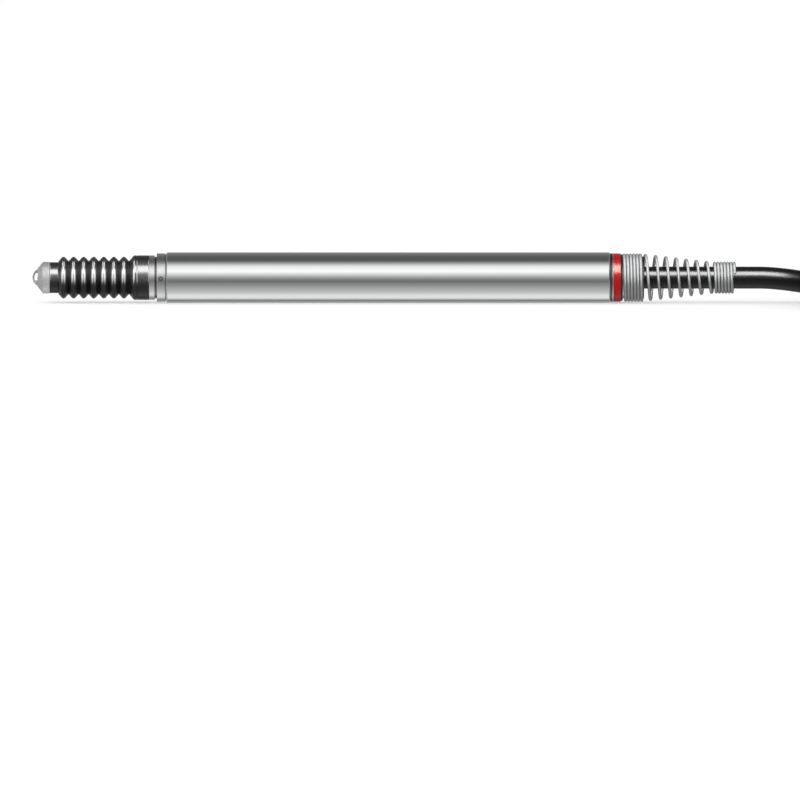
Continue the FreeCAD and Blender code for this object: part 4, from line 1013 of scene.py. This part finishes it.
def plug_profile(corners, closed=True, steps=4):
    """A rounded profile whose x is counted from the plug's rear end."""
    return round_corners([(PLUG_X + x, r, rounding) for x, r, rounding in corners], closed, steps)


boot_corners = [(0.4, 0.0, 0.0), (0.4, 1.7, 0.05), (0.0, 1.78, 0.05), (0.0, 2.4, 0.15)]
for groove in range(GROOVES):
    front = FIRST_GROOVE + GROOVE_PITCH * groove
    rear = front + GROOVE_WIDTH
    front_radius = BOOT_SMALL + (BOOT_LARGE - BOOT_SMALL) * (front + 0.35) / BOOT_TAPER
    rear_radius = front_radius + 0.04
    boot_corners += [
        (front, front_radius, 0.08), (front, front_radius - GROOVE_DEPTH, 0.08),
        (rear, rear_radius - GROOVE_DEPTH, 0.08), (rear, rear_radius, 0.08),
    ]
boot_corners += [(BOOT_TAPER, BOOT_LARGE, 0.2), (11.0, BOOT_LARGE, 0.15), (11.0, 0.0, 0.0)]
boot = turn_piece(
    "boot",
    plug_profile(boot_corners, closed=False),
    black_rubber,
    closed=False,
    centre=PLUG_AXIS,
    sides=96,
)
fit(boot, "housing", "black_rubber", "connector_boot")
nickel = finish("connector_metal", (0.62, 0.6, 0.56), 0.2, Metallic=1.0)
vary(nickel, "Roughness", grain(nickel, 1.2), 0.15, 0.26)
raise_by(nickel, grain(nickel, 0.2, (1, 20, 20)), 0.0008)
plug_shell = turn_piece(
    "plug_shell",
    plug_profile(
        [
            (11.0, 0.0, 0.0), (24.0, 0.0, 0.0), (24.0, 4.22, 0.03), (31.0, 4.22, 0.05),
            (31.0, 4.8, 0.12), (23.75, 4.8, 0.03), (23.75, 5.3, 0.08), (22.55, 5.3, 0.08),
            (22.55, 4.8, 0.03), (19.45, 4.8, 0.03), (19.45, 5.4, 0.12), (17.6, 5.4, 0.08),
            (17.6, 5.15, 0.05), (16.9, 5.15, 0.05), (16.9, 5.4, 0.08), (11.0, 5.4, 0.25),
        ]
    ),
    nickel,
    centre=PLUG_AXIS,
)
fit(plug_shell, "housing", "connector_metal", "connector_shell")
insert_plastic = finish("insert_plastic", (0.02, 0.02, 0.021), 0.4)
vary(insert_plastic, "Roughness", grain(insert_plastic, 0.3), 0.34, 0.48)
insert = turn_piece(
    "insert",
    plug_profile(
        [
            (24.0, 0.0, 0.0), (24.0, 4.2, 0.05), (31.0, 4.2, 0.12), (31.0, 3.7, 0.05),
            (30.8, 3.6, 0.05), (30.8, 0.0, 0.0),
        ],
        closed=False,
    ),
    insert_plastic,
    closed=False,
    centre=PLUG_AXIS,
    sides=96,
)
fit(insert, "housing", "insert_plastic", "connector_insert")
gold = finish("pin_gold", (0.86, 0.62, 0.24), 0.18, Metallic=1.0)
vary(gold, "Roughness", grain(gold, 0.5), 0.14, 0.24)
PINS, PIN_CIRCLE, PIN_RADIUS = 5, 2.5, 0.5
pin_line = plug_profile(
    [
        (30.4, 0.0, 0.0), (30.4, PIN_RADIUS, 0.0), (34.2, PIN_RADIUS, 0.42), (34.2, 0.0, 0.0),
    ],
    closed=False,
    steps=6,
)
pin_points, pin_quads, pin_triangles = [], [], []
for pin in range(PINS):
    angle = math.radians(90 + 360 * pin / PINS)
    centre = (PLUG_Y + PIN_CIRCLE * math.cos(angle), PLUG_Z + PIN_CIRCLE * math.sin(angle))
    points, quads, triangles = turned(pin_line, closed=False, centre=centre, sides=32)
    pin_points.append(points)
    pin_quads.append(quads + pin * len(points))
    pin_triangles.append(triangles + pin * len(points))
pins = make_piece(
    "pins", np.vstack(pin_points), np.vstack(pin_quads), np.vstack(pin_triangles), gold
)
fit(pins, "housing", "pin_brass", "connector_pins")


# Coupling ring: nickel-plated like the shell and turned in one piece, knurled in two bands, with
# a thread inside its mouth and a lip that runs behind the shell's flange. It alone turns.
RING_START, RING_LENGTH, RING_RADIUS, RING_EDGE = 239.8, 19.0, 6.0, 0.3
KNURLS, KNURL_DEPTH, KNURL_BELOW, KNURL_RUN_IN = 72, 0.22, 0.02, 0.5
KNURLED_BANDS = [(1.1, 8.0), (9.7, 16.6)]
THREAD_START, THREAD_END, THREAD_PITCH, THREAD_DEPTH = 9.5, 18.9, 0.75, 0.24
THREAD_RUN_OUT, THREAD_LEAD_IN = 0.8, 0.6
MOUTH_RADIUS, LIP_RADIUS, LIP_LENGTH = 5.5, 4.85, 3.0
# The outside's rows of points stand closer at the edges and where the knurls run in and out.
ring_x = RING_START + np.concatenate(
    [
        [0.0, 0.04, 0.12, 0.3, 0.8, 1.0, 1.1, 1.3, 1.6], np.linspace(2.0, 7.6, 6),
        [8.0, 8.3, 8.5, 8.6, 8.8, 9.4, 9.6, 9.7, 9.9, 10.2], np.linspace(10.6, 16.2, 6),
        [16.6, 16.9, 17.1, 17.2, 17.4, 18.2, 18.7, 18.88, 18.96, 19.0],
    ]
)
# Outside: each edge is a quarter circle. The knurls are cut down from just below the surface by
# the raised cosine round the ring to the power 0.7, and run in and out at the bands' ends.
ring_angle = np.linspace(0, 2 * math.pi, KNURLS * 6, endpoint=False)
from_start = ring_x - RING_START
from_edge = np.minimum(from_start, RING_LENGTH - from_start)
short_of_edge = 1 - np.clip(from_edge / RING_EDGE, 0, 1)
ring_outer = RING_RADIUS - RING_EDGE * (1 - np.sqrt(1 - short_of_edge**2))
knurled = sum(
    eased((from_start - first) / KNURL_RUN_IN) * (1 - eased((from_start - last) / KNURL_RUN_IN))
    for first, last in KNURLED_BANDS
)
knurl = KNURL_DEPTH * (0.5 + 0.5 * np.cos(KNURLS * ring_angle)) ** 0.7
outer_radius = ring_outer[:, None] - KNURL_BELOW - knurled[:, None] * knurl[None, :]
# Inside: the thread's ridge stands in by the raised cosine of its helix to the power 0.8, and
# fades at both ends. Behind it the bore steps down to the lip.
thread_x = np.linspace(RING_START + RING_LENGTH - 0.02, RING_START + THREAD_START, 96)
helix = 2 * math.pi * thread_x[:, None] / THREAD_PITCH - ring_angle[None, :]
run_out = eased((thread_x - (RING_START + THREAD_START)) / THREAD_RUN_OUT)
lead_in = eased((RING_START + THREAD_END - thread_x) / THREAD_LEAD_IN)
ridge = THREAD_DEPTH * (run_out * lead_in)[:, None] * (0.5 + 0.5 * np.cos(helix)) ** 0.8
thread_radius = MOUTH_RADIUS - ridge
bore = np.array(
    [
        (RING_START + LIP_LENGTH, MOUTH_RADIUS), (RING_START + LIP_LENGTH, LIP_RADIUS),
        (RING_START, LIP_RADIUS),
    ]
)
ring_rows_x = np.concatenate([ring_x, thread_x, bore[:, 0]])
ring_rows_r = np.vstack(
    [outer_radius, thread_radius, np.repeat(bore[:, 1:], len(ring_angle), axis=1)]
)
ring_points = np.stack(
    [
        np.repeat(ring_rows_x[:, None], len(ring_angle), axis=1),
        PLUG_Y - ring_rows_r * np.sin(ring_angle),
        PLUG_Z + ring_rows_r * np.cos(ring_angle),
    ],
    axis=-1,
).reshape(-1, 3)
ring_quads = grid_faces(
    len(ring_rows_x), len(ring_angle), rows_closed=True, columns_closed=True
)
ring = make_piece("knurled_ring", ring_points, ring_quads, [], nickel)
fit(ring, "ring", "connector_metal", "coupling_ring")
